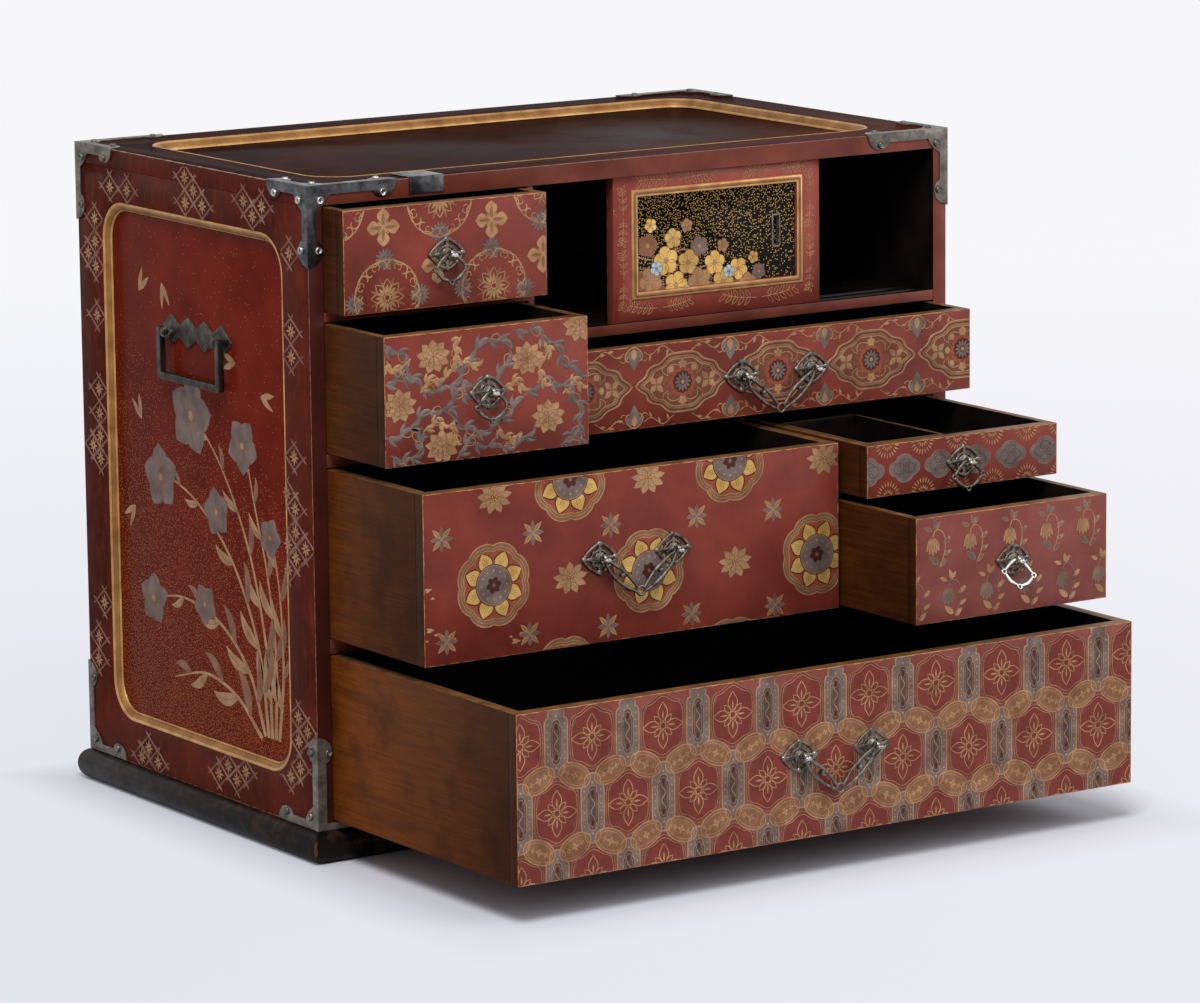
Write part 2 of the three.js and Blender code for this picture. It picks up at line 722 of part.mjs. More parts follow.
function addPull(drawer, name, kind, x, z) {
  const plate = pullPlate();
  if (kind === 'wide') {
    const half = widePullSpan / 2;
    add(drawer, `${name}_plate_left`, plate.clone().translate(x - half, 0, z), silverMount);
    add(drawer, `${name}_plate_right`, plate.clone().translate(x + half, 0, z), silverMount);
  } else {
    add(drawer, `${name}_plate`, plate.translate(x, 0, z), silverMount);
  }
  const bail = add(drawer, `${name}_bail`, kind === 'wide' ? wideBail() : ringBail(), silverMount);
  bail.position.set(x, -eyeReach, z);
  if (kind === 'swung ring') {
    const swing = THREE.MathUtils.degToRad(-swungRingAngle);
    const tilt = THREE.MathUtils.degToRad(swungRingTilt);
    bail.rotation.set(swing, tilt, 0, 'XYZ');
  }
}

// A drawer fills its bay but for its gaps, and its front covers the box's end.
function makeDrawer(name, bay, pulledOut, wall, kind) {
  const left = bay.left + drawerSideGap;
  const right = bay.right - drawerSideGap;
  const bottom = bay.bottom + drawerRestGap;
  const top = bay.top - drawerHeadGap;
  const boxFront = drawerFrontThickness + glueLine;
  const boxBack = insideBack - drawerBackGap;
  const drawer = new THREE.Group();
  drawer.position.y = -pulledOut;
  box.add(drawer);
  const front = block(left, right, 0, drawerFrontThickness, bottom, top);
  add(drawer, `${name}_front`, front, bengaraLacquer);
  const hull = block(left, right, boxFront, boxBack, bottom, top);
  const hollow = block(
    left + wall, right - wall,
    boxFront - 1, boxBack - drawerBackThickness,
    bottom + drawerBottomThickness, top + 1,
  );
  add(drawer, `${name}_box`, cut(hull, hollow), stainedWood);
  addPull(drawer, `${name}_pull`, kind, (left + right) / 2, (bottom + top) / 2);
  return { drawer, left, right, bottom, top, boxFront };
}

function makeTray(home, wall) {
  const left = home.left + wall + trayClearance;
  const front = home.boxFront + trayClearance;
  const bottom = home.bottom + drawerBottomThickness + glueLine;
  const hull = block(left, left + trayWidth, front, front + trayLength, bottom, home.top);
  const hollow = block(
    left + trayWall, left + trayWidth - trayWall,
    front + trayWall, front + trayLength - trayWall,
    bottom + trayFloor, home.top + 1,
  );
  add(home.drawer, 'lift_out_tray', cut(hull, hollow), blackLacquer);
}

function makeDrawers() {
  const leftBay = { left: insideLeft, right: leftDividerLeft };
  const rightBay = { left: rightDividerRight, right: insideRight };
  makeDrawer(
    'top_left_drawer', { ...leftBay, bottom: leftRailTop, top: underTop },
    topLeftPulled, thinWall, 'ring',
  );
  makeDrawer(
    'middle_left_drawer', { ...leftBay, bottom: middleShelfTop, top: leftRailBottom },
    middleLeftPulled, thinWall, 'ring',
  );
  makeDrawer(
    'middle_right_drawer',
    { left: leftDividerRight, right: insideRight, bottom: middleShelfTop, top: doorShelfBottom },
    middleRightPulled, thinWall, 'wide',
  );
  makeDrawer(
    'tall_drawer',
    { left: insideLeft, right: rightDividerLeft, bottom: lowerShelfTop, top: middleShelfBottom },
    tallPulled, stoutWall, 'wide',
  );
  const trayDrawer = makeDrawer(
    'tray_drawer', { ...rightBay, bottom: rightRailTop, top: middleShelfBottom },
    trayPulled, thinWall, 'ring',
  );
  makeTray(trayDrawer, thinWall);
  makeDrawer(
    'low_right_drawer', { ...rightBay, bottom: lowerShelfTop, top: rightRailBottom },
    lowRightPulled, thinWall, 'swung ring',
  );
  makeDrawer(
    'bottom_drawer',
    { left: insideLeft, right: insideRight, bottom: floorThickness, top: lowerShelfBottom },
    bottomPulled, stoutWall, 'wide',
  );
}

// Carrying handle for the left side, drawn from the panel's face, which is the plane x = 0
function handlePlate() {
  const first = (-zigzagPitch * (zigzagPoints - 1)) / 2;
  const upper = [];
  for (let i = 0; i < zigzagPoints; i += 1) {
    const centre = first + i * zigzagPitch;
    upper.push([centre, zigzagPoint]);
    if (i < zigzagPoints - 1) {
      upper.push([centre + zigzagPitch / 2, zigzagValley]);
    }
  }
  const lower = upper.map(([y, z]) => [y, -z]).reverse();
  const end = zigzagEnd - first;
  const outline = [[-end, 0], ...upper, [end, 0], ...lower].map(([y, z]) => [z, y]);
  const flat = sheet(polygon(outline), handlePlateThickness);
  return laid(flat, [0, 0, 1], [0, 1, 0], [-glueLine, 0, handlePlateRise]);
}

function handlePlateWithEyes() {
  const plate = handlePlate();
  const eyes = [];
  const holes = [];
  for (const side of [-1, 1]) {
    const middle = (side * handleEyeSpan) / 2;
    const post = new THREE.CylinderGeometry(
      postRadius, postRadius, handleEyeReach - handleEyeRadius + 0.8, 8,
    );
    post.rotateZ(Math.PI / 2);
    post.translate(-glueLine - (handleEyeReach - handleEyeRadius + 0.8) / 2, middle, 0);
    eyes.push(post, handleEye(annulus(handleEyeRadius, 0.3), handleEyeThickness, middle));
    holes.push(handleEye(disc(handleEyeHole), handleEyeThickness + 1, middle));
  }
  return cut(joined(plate, ...eyes), ...holes);
}

function handleEye(shape, thickness, middle) {
  const flat = sheet(shape, thickness, 5);
  return laid(flat, [0, 0, 1], [1, 0, 0], [-handleEyeReach, middle - thickness / 2, 0]);
}

// Square bail with a pin through each eye, drawn from the hinge line along y
function handleBail() {
  const half = handleBailWidth / 2;
  const inside = half - handleBar;
  const corner = handleBailCorner;
  const shape = new THREE.Shape();
  shape.moveTo(handleBailRise, -half);
  shape.lineTo(handleBailRise, -inside);
  shape.lineTo(handleBar - handleBailDrop, -inside);
  shape.lineTo(handleBar - handleBailDrop, inside);
  shape.lineTo(handleBailRise, inside);
  shape.lineTo(handleBailRise, half);
  shape.lineTo(corner - handleBailDrop, half);
  shape.quadraticCurveTo(-handleBailDrop, half, -handleBailDrop, half - corner);
  shape.lineTo(-handleBailDrop, corner - half);
  shape.quadraticCurveTo(-handleBailDrop, -half, corner - handleBailDrop, -half);
  const flat = sheet(shape, handleBarThickness, 3);
  const frame = laid(flat, [0, 0, 1], [0, 1, 0], [handleBarThickness / 2, 0, 0]);
  const pinEnd = (handleEyeSpan - handleEyeThickness) / 2 - 1;
  const pins = [-1, 1].map((side) => {
    const ends = [side * pinEnd, side * (inside + 1)].sort((a, b) => a - b);
    return block(-handlePin / 2, handlePin / 2, ends[0], ends[1], -handlePin / 2, handlePin / 2);
  });
  return joined(frame, ...pins);
}

function makeHandles() {
  const plate = handlePlateWithEyes();
  const bail = handleBail();
  for (const [side, sign, face] of [['left', 1, sidePanelSink], ['right', -1, caseWidth - sidePanelSink]]) {
    const hinge = face - sign * handleEyeReach;
    const backPlate = add(box, `${side}_handle_plate`, mirrored(plate, sign, 1, 1), darkIron);
    backPlate.position.set(face, caseDepth / 2, handleAxisHeight);
    const grip = add(box, `${side}_handle_bail`, mirrored(bail, sign, 1, 1), darkIron);
    grip.position.set(hinge, caseDepth / 2, handleAxisHeight);
  }
}

makeBase();
makeSides();
makeTopAndBack();
makePartitions();
makeMounts();
makeStrikePlate();
makeDoor('front_sliding_door', frontDoorLeft, 0, 1);
makeDoor('rear_sliding_door', rearDoorLeft, 1, -1);
makeDrawers();
makeHandles();

box.position.set(-caseWidth / 2, -caseDepth / 2, plinthHeight);

export default box;
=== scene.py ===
import json
import math

import bmesh
import bpy
import numpy as np
from mathutils import Matrix, Vector
from mathutils.geometry import tessellate_polygon


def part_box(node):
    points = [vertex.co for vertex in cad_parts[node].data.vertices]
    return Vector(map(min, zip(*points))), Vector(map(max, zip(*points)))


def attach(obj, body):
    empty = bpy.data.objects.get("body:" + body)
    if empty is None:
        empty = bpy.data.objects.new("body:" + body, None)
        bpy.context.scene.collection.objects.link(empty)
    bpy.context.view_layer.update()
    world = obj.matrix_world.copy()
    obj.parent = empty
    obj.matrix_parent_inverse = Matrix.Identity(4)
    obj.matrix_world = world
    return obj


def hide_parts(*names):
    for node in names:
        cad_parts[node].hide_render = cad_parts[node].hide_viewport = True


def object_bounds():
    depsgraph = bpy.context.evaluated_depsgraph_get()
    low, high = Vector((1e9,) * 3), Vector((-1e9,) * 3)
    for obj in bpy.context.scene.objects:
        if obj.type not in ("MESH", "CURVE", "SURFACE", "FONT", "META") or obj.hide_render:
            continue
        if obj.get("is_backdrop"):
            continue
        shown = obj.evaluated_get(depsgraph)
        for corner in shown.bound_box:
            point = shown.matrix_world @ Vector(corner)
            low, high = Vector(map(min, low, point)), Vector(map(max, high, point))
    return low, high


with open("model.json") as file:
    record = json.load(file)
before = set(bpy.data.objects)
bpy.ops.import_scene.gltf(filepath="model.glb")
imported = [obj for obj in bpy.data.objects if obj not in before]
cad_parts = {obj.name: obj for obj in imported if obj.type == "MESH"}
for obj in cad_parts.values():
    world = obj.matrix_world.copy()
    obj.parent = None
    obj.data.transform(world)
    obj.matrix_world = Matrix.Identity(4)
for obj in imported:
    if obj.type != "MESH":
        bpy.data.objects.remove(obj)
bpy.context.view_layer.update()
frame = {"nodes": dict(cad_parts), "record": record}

# Looks of a lacquered travel box with drawers. Lengths in this script are millimetres in the
# case's own coordinates: x to the right, y to the back and z up from the front left bottom
# corner of the case. The function that makes a mesh turns them to metres in the frame.
MM = 0.001
GLUE_LINE = 0.1
case_low, case_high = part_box("left_side")
CORNER = np.array(case_low) / MM - np.array([0, 0, GLUE_LINE])
CASE_DEPTH = (case_high.y - case_low.y) / MM
CASE_WIDTH = (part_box("right_side")[1].x - case_low.x) / MM
CASE_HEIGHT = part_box("top_board")[1].z / MM - CORNER[2]
BODY_OF = {
    node: body for body, nodes in frame["record"]["behaviour"]["bodies"].items() for node in nodes
}
SLOT_OF = {part["node"]: part["material_slot"] for part in frame["record"]["subparts"]}
RIGHT, BACK, UP = np.eye(3)


def case_box(node):
    """Lowest and highest corner of a CAD node in the case's coordinates, in millimetres."""
    low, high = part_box(node)
    return np.array(low) / MM - CORNER, np.array(high) / MM - CORNER


# Meshes

SHARP_ANGLE = 38


class Shells:
    """Gathers the closed shells of one piece, as points, quads and triangles."""

    def __init__(self):
        self.points, self.quads, self.triangles, self.count = [], [], [], 0

    def add(self, points, quads=None, triangles=None):
        """Adds one closed shell, turned inside out if its signed volume is below nought."""
        points = np.asarray(points, float)
        quads = np.zeros((0, 4), int) if quads is None else np.asarray(quads, int)
        triangles = np.zeros((0, 3), int) if triangles is None else np.asarray(triangles, int)
        halves = np.concatenate([quads[:, [0, 1, 2]], quads[:, [0, 2, 3]], triangles])
        a, b, c = (points[halves[:, k]] - points[0] for k in range(3))
        if np.einsum("ij,ij->", a, np.cross(b, c)) < 0:
            quads, triangles = quads[:, ::-1], triangles[:, ::-1]
        self.points.append(points)
        self.quads.append(quads + self.count)
        self.triangles.append(triangles + self.count)
        self.count += len(points)

    def stand_in(self, node, suffix, material):
        """Makes the object that stands for a CAD node."""
        self.piece(node + suffix, material, BODY_OF[node], SLOT_OF[node], [node])

    def piece(self, name, material, body, slot, replaced=()):
        """Makes the object, with its place in its mesh, and puts it on its body."""
        points = (np.concatenate(self.points) + CORNER) * MM
        quads = np.concatenate(self.quads)
        triangles = np.concatenate(self.triangles)
        mesh = bpy.data.meshes.new(name)
        mesh.vertices.add(len(points))
        mesh.vertices.foreach_set("co", points.astype(np.float32).ravel())
        loops = np.concatenate([quads.ravel(), triangles.ravel()])
        sizes = np.concatenate([np.full(len(quads), 4), np.full(len(triangles), 3)])
        mesh.loops.add(len(loops))
        mesh.loops.foreach_set("vertex_index", loops)
        mesh.polygons.add(len(sizes))
        mesh.polygons.foreach_set("loop_start", np.concatenate([[0], np.cumsum(sizes)[:-1]]))
        mesh.polygons.foreach_set("use_smooth", np.ones(len(sizes), bool))
        mesh.update(calc_edges=True)
        mesh.validate()
        mesh.set_sharp_from_angle(angle=math.radians(SHARP_ANGLE))
        mesh.materials.append(material)
        made = bpy.data.objects.new(name, mesh)
        bpy.context.scene.collection.objects.link(made)
        hand_over(made, body, replaced)


def hand_over(made, body, replaced=()):
    """Puts a piece on the body that it rides on, and hides the CAD nodes that it stands for."""
    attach(made, body)
    if replaced:
        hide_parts(*replaced)


def grid_faces(rows, columns, closed):
    """Quads of a grid whose columns close on themselves, and whose rows do so if closed."""
    last = rows if closed else rows - 1
    i, j = np.meshgrid(np.arange(last), np.arange(columns), indexing="ij")
    i, j = i.ravel(), j.ravel()
    up, over = (i + 1) % rows, (j + 1) % columns
    return np.stack([i * columns + j, up * columns + j, up * columns + over, i * columns + over], 1)


def sweep(path, across, up, section, closed=False):
    """Section carried along a path: point (i, j) is path i plus section j's first number
    times across i plus its second number times up i. Ends that are open get a cap."""
    section = np.broadcast_to(section, (len(path),) + np.shape(section)[-2:])
    points = path[:, None] + section[..., :1] * across[:, None] + section[..., 1:] * up[:, None]
    rows, columns = points.shape[:2]
    caps = None
    if not closed:
        j = np.arange(1, columns - 1)
        first = np.stack([np.zeros_like(j), j, j + 1], 1)
        caps = np.concatenate([first, first[:, ::-1] + (rows - 1) * columns])
    return points.reshape(-1, 3), grid_faces(rows, columns, closed), caps


def turned(profile, sides=24):
    """Lathe shape: profile points are (radius, height), from the axis back to the axis. Point
    (i, j) is profile i turned by j steps round the axis, and each pole is one point."""
    profile = np.asarray(profile, float)
    angle = np.linspace(0, 2 * np.pi, sides, endpoint=False)
    inner = profile[1:-1]
    x = inner[:, :1] * np.cos(angle)
    y = inner[:, :1] * np.sin(angle)
    z = np.broadcast_to(inner[:, 1:], x.shape)
    rings = np.stack([x, y, z], 2).reshape(-1, 3)
    poles = np.array([[0, 0, profile[0, 1]], [0, 0, profile[-1, 1]]])
    j = np.arange(sides)
    over = (j + 1) % sides
    low = len(rings)
    start = (len(inner) - 1) * sides
    first = np.stack([np.full(sides, low), over, j], 1)
    last = np.stack([np.full(sides, low + 1), start + j, start + over], 1)
    faces = grid_faces(len(inner), sides, False)
    return np.concatenate([rings, poles]), faces, np.concatenate([first, last])


def tangents(path, closed):
    """Unit directions along a path, from each point's neighbours."""
    if closed:
        along = np.roll(path, -1, 0) - np.roll(path, 1, 0)
    else:
        along = np.gradient(path, axis=0)
    return along / np.maximum(np.linalg.norm(along, axis=1, keepdims=True), 1e-9)


def rounded_section(width, thickness, rounding, steps=3):
    """Upright rectangle with round corners, as points round it, centred on nought."""
    radius = min(width, thickness) * rounding
    points = []
    for quarter, (sx, sy) in enumerate([(1, 1), (-1, 1), (-1, -1), (1, -1)]):
        angle = (quarter + np.linspace(0, 1, steps + 1)) * np.pi / 2
        centre = [sx * (width / 2 - radius), sy * (thickness / 2 - radius)]
        points.append(centre + radius * np.stack([np.cos(angle), np.sin(angle)], 1))
    return np.concatenate(points)


def strip(plane, path, width, thickness, out=0.0, closed=False, rounding=0.45):
    """Bar with a rounded section that lies in a plane along a 2-D path. The plane is an origin
    and three directions, and out is how far the bar's middle stands from it."""
    origin, right, upward, outward = plane
    path = np.asarray(path, float)
    flat = tangents(path, closed)
    across = flat[:, 1:] * right - flat[:, :1] * upward
    line = origin + path[:, :1] * right + path[:, 1:] * upward + out * outward
    up = np.broadcast_to(outward, line.shape)
    unit = rounded_section(1.0, thickness / np.mean(width), rounding)
    sides = unit[None, :, 0] * np.broadcast_to(width, (len(path),))[:, None]
    rise = np.broadcast_to(unit[None, :, 1] * np.mean(width), sides.shape)
    return sweep(line, across, up, np.stack([sides, rise], 2), closed)


def placed(shell, plane, shift=0.0):
    """Puts a shell that was made at the origin into a plane: x, y, z go along its directions."""
    points, quads, triangles = shell
    origin, right, upward, outward = plane
    return origin + shift + points @ np.array([right, upward, outward]), quads, triangles


def spline(points, steps=8, closed=False):
    """Smooth curve through chosen points: a Catmull-Rom curve with evenly spaced steps."""
    points = np.asarray(points, float)
    if closed:
        before, first = np.roll(points, 1, 0), points
        second, after = np.roll(points, -1, 0), np.roll(points, -2, 0)
    else:
        ends = [2 * points[0] - points[1]], [2 * points[-1] - points[-2]]
        padded = np.concatenate([ends[0], points, ends[1]])
        before, first, second, after = padded[:-3], padded[1:-2], padded[2:-1], padded[3:]
    t = np.linspace(0, 1, steps, endpoint=False)[None, :, None]
    a, b, c, d = (p[:, None] for p in (before, first, second, after))
    curve = 0.5 * (2 * b + (c - a) * t + (2 * a - 5 * b + 4 * c - d) * t ** 2
                   + (3 * b - 3 * c + d - a) * t ** 3)
    curve = curve.reshape(-1, points.shape[1])
    return curve if closed else np.concatenate([curve, points[-1:]])


# Materials

def linear(code):
    """Turns an sRGB hex colour to the linear RGBA that a socket takes."""
    channels = [int(code[k:k + 2], 16) / 255 for k in (1, 3, 5)]
    return tuple(c / 12.92 if c <= 0.04045 else ((c + 0.055) / 1.055) ** 2.4 for c in channels) + (1,)


def add(tree, kind, inputs=None, out=0, **settings):
    """Adds a shader node of a kind and gives one of its outputs. Settings are its properties,
    and inputs gives each socket, by its name or number, a value, an sRGB hex colour or another
    node's output."""
    made = tree.nodes.new("ShaderNode" + kind)
    for key, value in settings.items():
        setattr(made, key, value)
    for key, value in (inputs or {}).items():
        if isinstance(value, bpy.types.NodeSocket):
            tree.links.new(value, made.inputs[key])
        else:
            made.inputs[key].default_value = linear(value) if isinstance(value, str) else value
    return made.outputs[out] if len(made.outputs) else made


def start(name):
    """An empty node material and the piece's own coordinates in it."""
    made = bpy.data.materials.new(name)
    made.use_nodes = True
    made.node_tree.nodes.clear()
    return made, made.node_tree, add(made.node_tree, "TexCoord", None, "Object")


def finish(tree, colour, roughness, height, depth, levels=None):
    """Ends a material with its colour, its roughness, a relief that is depth millimetres deep,
    and other levels, which are set on the shader's own sockets."""
    relief = add(tree, "Bump", {"Height": height, "Distance": depth * MM})
    inputs = {"Base Color": colour, "Roughness": roughness, "Normal": relief, **(levels or {})}
    surface = add(tree, "BsdfPrincipled", inputs)
    add(tree, "OutputMaterial", {"Surface": surface})


def mottle(tree, place, size, detail=3.0, stretch=(1, 1, 1), rough=0.55):
    """Blotches about size millimetres wide, stretched along the axes."""
    scale = tuple(1 / (size * MM * s) for s in stretch)
    at = add(tree, "Mapping", {"Vector": place, "Scale": scale})
    inputs = {"Vector": at, "Scale": 1.0, "Detail": detail, "Roughness": rough}
    return add(tree, "TexNoise", inputs)


def clouds(tree, place, size, low, high, most=1.0, detail=4.0, stretch=(1, 1, 1), rough=0.55):
    """Cloudy mask: noise spread so that it is nought below low and most above high."""
    spread = {0: mottle(tree, place, size, detail, stretch, rough), 1: low, 2: high, 4: most}
    return add(tree, "MapRange", spread)


def painted(tree, colour, *layers):
    """Lays colours over one another: each layer is a mask and the colour that it shows."""
    for mask, above in layers:
        inputs = {0: mask, 6: colour, 7: above}
        colour = add(tree, "Mix", inputs, 2, data_type="RGBA")
    return colour


def worn_edges(tree, place, box, width):
    """Mask of wear along a box's edges, ragged by noise, about width millimetres broad. The
    gap from the nearest edge is the middle one of the gaps from the three pairs of faces."""
    low, high = (np.array(corner) for corner in box)
    off = add(tree, "VectorMath", {0: place, 1: tuple((low + high) / 2)}, operation="SUBTRACT")
    off = add(tree, "VectorMath", {0: off}, operation="ABSOLUTE")
    off = add(tree, "VectorMath", {0: tuple((high - low) / 2), 1: off}, operation="SUBTRACT")
    x, y, z = add(tree, "SeparateXYZ", {0: off}).node.outputs
    less = add(tree, "Math", {0: x, 1: y}, operation="MINIMUM")
    more = add(tree, "Math", {0: x, 1: y}, operation="MAXIMUM")
    more = add(tree, "Math", {0: more, 1: z}, operation="MINIMUM")
    gap = add(tree, "Math", {0: less, 1: more}, operation="MAXIMUM")
    spread = {0: mottle(tree, place, 5.0, 4.0), 1: 0.3, 2: 0.7, 3: 0.15 * width * MM,
              4: 1.6 * width * MM}
    ragged = add(tree, "MapRange", spread)
    worn = add(tree, "Math", {0: ragged, 1: gap}, operation="SUBTRACT")
    return add(tree, "MapRange", {0: worn, 2: 0.25 * width * MM})


def soft_spot(tree, place, centre, radius, most=1.0):
    """Mask that falls to nought at radius millimetres from a place in the case, clouded."""
    middle = tuple((np.array(centre) + CORNER) * MM)
    gap = add(tree, "VectorMath", {0: place, 1: middle}, "Value", operation="DISTANCE")
    near = add(tree, "MapRange", {0: gap, 2: radius * MM, 3: most, 4: 0.0})
    inputs = {0: near, 1: clouds(tree, place, radius * 0.4, 0.25, 0.5)}
    return add(tree, "Math", inputs, operation="MULTIPLY")


def flakes(tree, flat, spacing, radius, share):
    """Mask of sprinkled metal flakes: one in each cell of spacing millimetres, its radius a
    share of the cell, kept where the cell's random number is below share."""
    inputs = {"Vector": flat, "Scale": 1 / (spacing * MM)}
    cells = add(tree, "TexVoronoi", inputs, voronoi_dimensions="2D").node.outputs
    spread = {0: cells["Distance"], 1: 0.8 * radius, 2: radius, 3: 1.0, 4: 0.0}
    near = add(tree, "MapRange", spread)
    luck = add(tree, "SeparateColor", {0: cells["Color"]})
    kept = add(tree, "Math", {0: luck, 1: share}, operation="LESS_THAN")
    return add(tree, "Math", {0: near, 1: kept}, operation="MULTIPLY")


def red_lacquer(name, deep, bright, roughness, box=None, wear="#b9804f", width=0.7):
    """Red iron-oxide lacquer, brushed on wood and polished: clouded colour, faint brush
    streaks, fine dust under the gloss, and pale wear along the edges."""
    made, tree, place = start(name)
    cloudy = clouds(tree, place, 38.0, 0.32, 0.68)
    dust = clouds(tree, place, 0.9, 0.62, 0.78, 0.3, 2.0)
    layers = [(cloudy, bright), (dust, "#2a120e")]
    if box is not None:
        layers.append((worn_edges(tree, place, box, width), wear))
    satin = {0: cloudy, 3: roughness + 0.06, 4: roughness - 0.05}
    finish(tree, painted(tree, deep, *layers), add(tree, "MapRange", satin),
           mottle(tree, place, 1.6, 3.0, (14, 1, 1)), 0.01, {"Specular IOR Level": 0.2})
    return made


def black_lacquer(name, roughness=0.3, box=None, width=0.8, wear="#5a3a26", worn_spot=None):
    """Black lacquer, polished: near black with a brown cast where it is thin or worn."""
    made, tree, place = start(name)
    cloudy = clouds(tree, place, 22.0, 0.35, 0.75)
    layers = [(cloudy, "#1a1412")]
    if box is not None:
        layers.append((worn_edges(tree, place, box, width), wear))
    if worn_spot is not None:
        layers.append((clouds(tree, place, 7.0, 0.5, 0.68, 0.7, 5.0), "#3d2a1e"))
        layers.append((soft_spot(tree, place, *worn_spot), "#8a5b41"))
    satin = {0: cloudy, 3: roughness - 0.05, 4: roughness + 0.12}
    finish(tree, painted(tree, "#0d0b0b", *layers), add(tree, "MapRange", satin),
           mottle(tree, place, 3.0), 0.012, {"Specular IOR Level": 0.07})
    return made


def stained_wood(name, low, high):
    """Thin cypress boards stained brown: straight grain along the drawer, orange where the
    drawer stays in the case and dark towards the front, handled end."""
    made, tree, place = start(name)
    grain = clouds(tree, place, 1.3, 0.3, 0.7, 1.0, 4.0, (1, 26, 1), 0.62)
    bands = clouds(tree, place, 9.0, 0.5, 0.75, 0.45, 2.0, (1, 14, 1))
    grime = clouds(tree, place, 30.0, 0.48, 0.72, 0.65, 5.0)
    depth = add(tree, "SeparateXYZ", {0: place}, 1)
    length = high.y - low.y
    inward = {0: depth, 1: low.y + 0.04 * length, 2: low.y + 0.6 * length}
    warm = painted(tree, "#60300c", (grain, "#804413"))
    colour = painted(tree, "#321a0c", (grain, "#4a2711"),
                     (add(tree, "MapRange", inward), warm), (bands, "#341a0d"),
                     (grime, "#26130b"))
    finish(tree, colour, add(tree, "MapRange", {0: grain, 3: 0.4, 4: 0.58}), grain, 0.03,
           {"Specular IOR Level": 0.06})
    return made


def metal(name, dark, light, roughness, patch=7.0, metallic=0.9):
    """Sheet and cast metal, patinated: clouds of a dark and a light colour with fine dark specks."""
    made, tree, place = start(name)
    stain = clouds(tree, place, patch, 0.35, 0.65, 1.0, 5.0, (1, 1, 1), 0.65)
    fine = clouds(tree, place, 0.8, 0.55, 0.75, 0.35, 3.0)
    satin = {0: stain, 3: roughness + 0.1, 4: roughness - 0.06}
    finish(tree, painted(tree, dark, (stain, light), (fine, "#1d1a18")),
           add(tree, "MapRange", satin), fine, 0.02, {"Metallic": metallic})
    return made


def powder(name, dark, light, roughness=0.42, metallic=0.75, dust=0.35):
    """Metal powder sprinkled on wet lacquer: tiny grains, thin and dull in places."""
    made, tree, place = start(name)
    cloudy = clouds(tree, place, 11.0, 0.3, 0.7)
    grains = clouds(tree, place, 0.5, 0.55, 0.75, dust, 2.0)
    finish(tree, painted(tree, dark, (cloudy, light), (grains, "#4a2016")), roughness,
           mottle(tree, place, 0.7, 2.0), 0.01, {"Metallic": metallic, "Specular IOR Level": 0.2})
    return made


# Pale patches of painted reflection in the top's gloss: x, y, radius, strength and colour
PAINTED_REFLECTIONS = [(190, 165, 60, 0.4, "#43383a"), (322, 128, 90, 0.85, "#545153"),
        (395, 75, 60, 0.5, "#58433a")]


def top_lacquer(name, low, high):
    """Dark aubergine-brown lacquer of the top, with faint rubbed streaks, pale patches of painted
    reflection in its gloss, and a redder brown towards the front right."""
    made, tree, place = start(name)
    size = high - low
    warm = {0: place, 1: (1 / size.x, -1 / size.y, 0)}
    warm = add(tree, "VectorMath", warm, "Value", operation="DOT_PRODUCT")
    warm = add(tree, "MapRange", {0: warm, 1: 0.1, 2: 0.9, 4: 0.75})
    height = CASE_HEIGHT - 5
    cloudy = clouds(tree, place, 46.0, 0.3, 0.7, 1.0, 5.0, (1, 1, 1), 0.6)
    rubbed = clouds(tree, place, 3.0, 0.5, 0.8, 0.4, 5.0, (9, 1, 1))
    # painted reflection: pale patches where the glossy top mirrors the pale surround
    painted_reflections = [(soft_spot(tree, place, (x, y, height), radius, most), shade)
            for x, y, radius, most, shade in PAINTED_REFLECTIONS]
    colour = painted(
        tree, "#1f0e0c", (cloudy, "#3b1c17"), (warm, "#57281c"), (rubbed, "#2a1614"), *painted_reflections,
        (worn_edges(tree, place, (low, high), 1.1), "#a08478"))
    finish(tree, colour, add(tree, "MapRange", {0: cloudy, 3: 0.16, 4: 0.3}),
           mottle(tree, place, 2.4), 0.01,
           {"Specular IOR Level": 0.0, "Coat Weight": 0.07, "Coat Roughness": 0.14})
    return made


def side_lacquer(name, low, high, outer):
    """Dark red-brown lacquer of the case's sides, with a brighter red sunk panel that is
    sprinkled with gold, most thickly low down at the back."""
    made, tree, place = start(name)
    x, y, z = add(tree, "SeparateXYZ", {0: place}).node.outputs
    cloudy = clouds(tree, place, 30.0, 0.3, 0.7, 1.0, 5.0)
    streaks = clouds(tree, place, 8.0, 0.5, 0.72, 0.6, 5.0, (1, 0.6, 1.8), 0.6)
    border = painted(tree, "#3c130b", (cloudy, "#5e2012"), (streaks, "#732b14"))
    field = painted(tree, "#5e190d", (cloudy, "#762312"))
    sunk = add(tree, "Math", {0: x, 1: outer * MM + CORNER[0] * MM}, operation="SUBTRACT")
    sunk = add(tree, "Math", {0: sunk}, operation="ABSOLUTE")
    sunk = add(tree, "Math", {0: sunk, 1: 0.5 * SIDE_SINK * MM}, operation="GREATER_THAN")
    down = add(tree, "VectorMath", {0: place, 1: (0, 0.35, -1)}, "Value", operation="DOT_PRODUCT")
    share = add(tree, "MapRange",
                {0: down, 1: 0.3 * low.z - 0.7 * high.z, 2: -low.z, 3: 0.02, 4: 0.85})
    flat = add(tree, "CombineXYZ", {0: y, 1: z})
    gold = add(tree, "Math", {0: flakes(tree, flat, 1.2, 0.3, share), 1: sunk},
               operation="MULTIPLY")
    whole = low, (high.x, high.y, (CASE_HEIGHT + CORNER[2]) * MM)
    colour = painted(tree, border, (sunk, field), (gold, "#a8693c"),
                     (worn_edges(tree, place, whole, 0.45), "#a8735a"))
    finish(tree, colour, add(tree, "MapRange", {0: cloudy, 3: 0.36, 4: 0.28}),
           mottle(tree, place, 2.4), 0.01,
           {"Specular IOR Level": 0.0, "Coat Weight": 0.12, "Coat Roughness": 0.2})
    return made


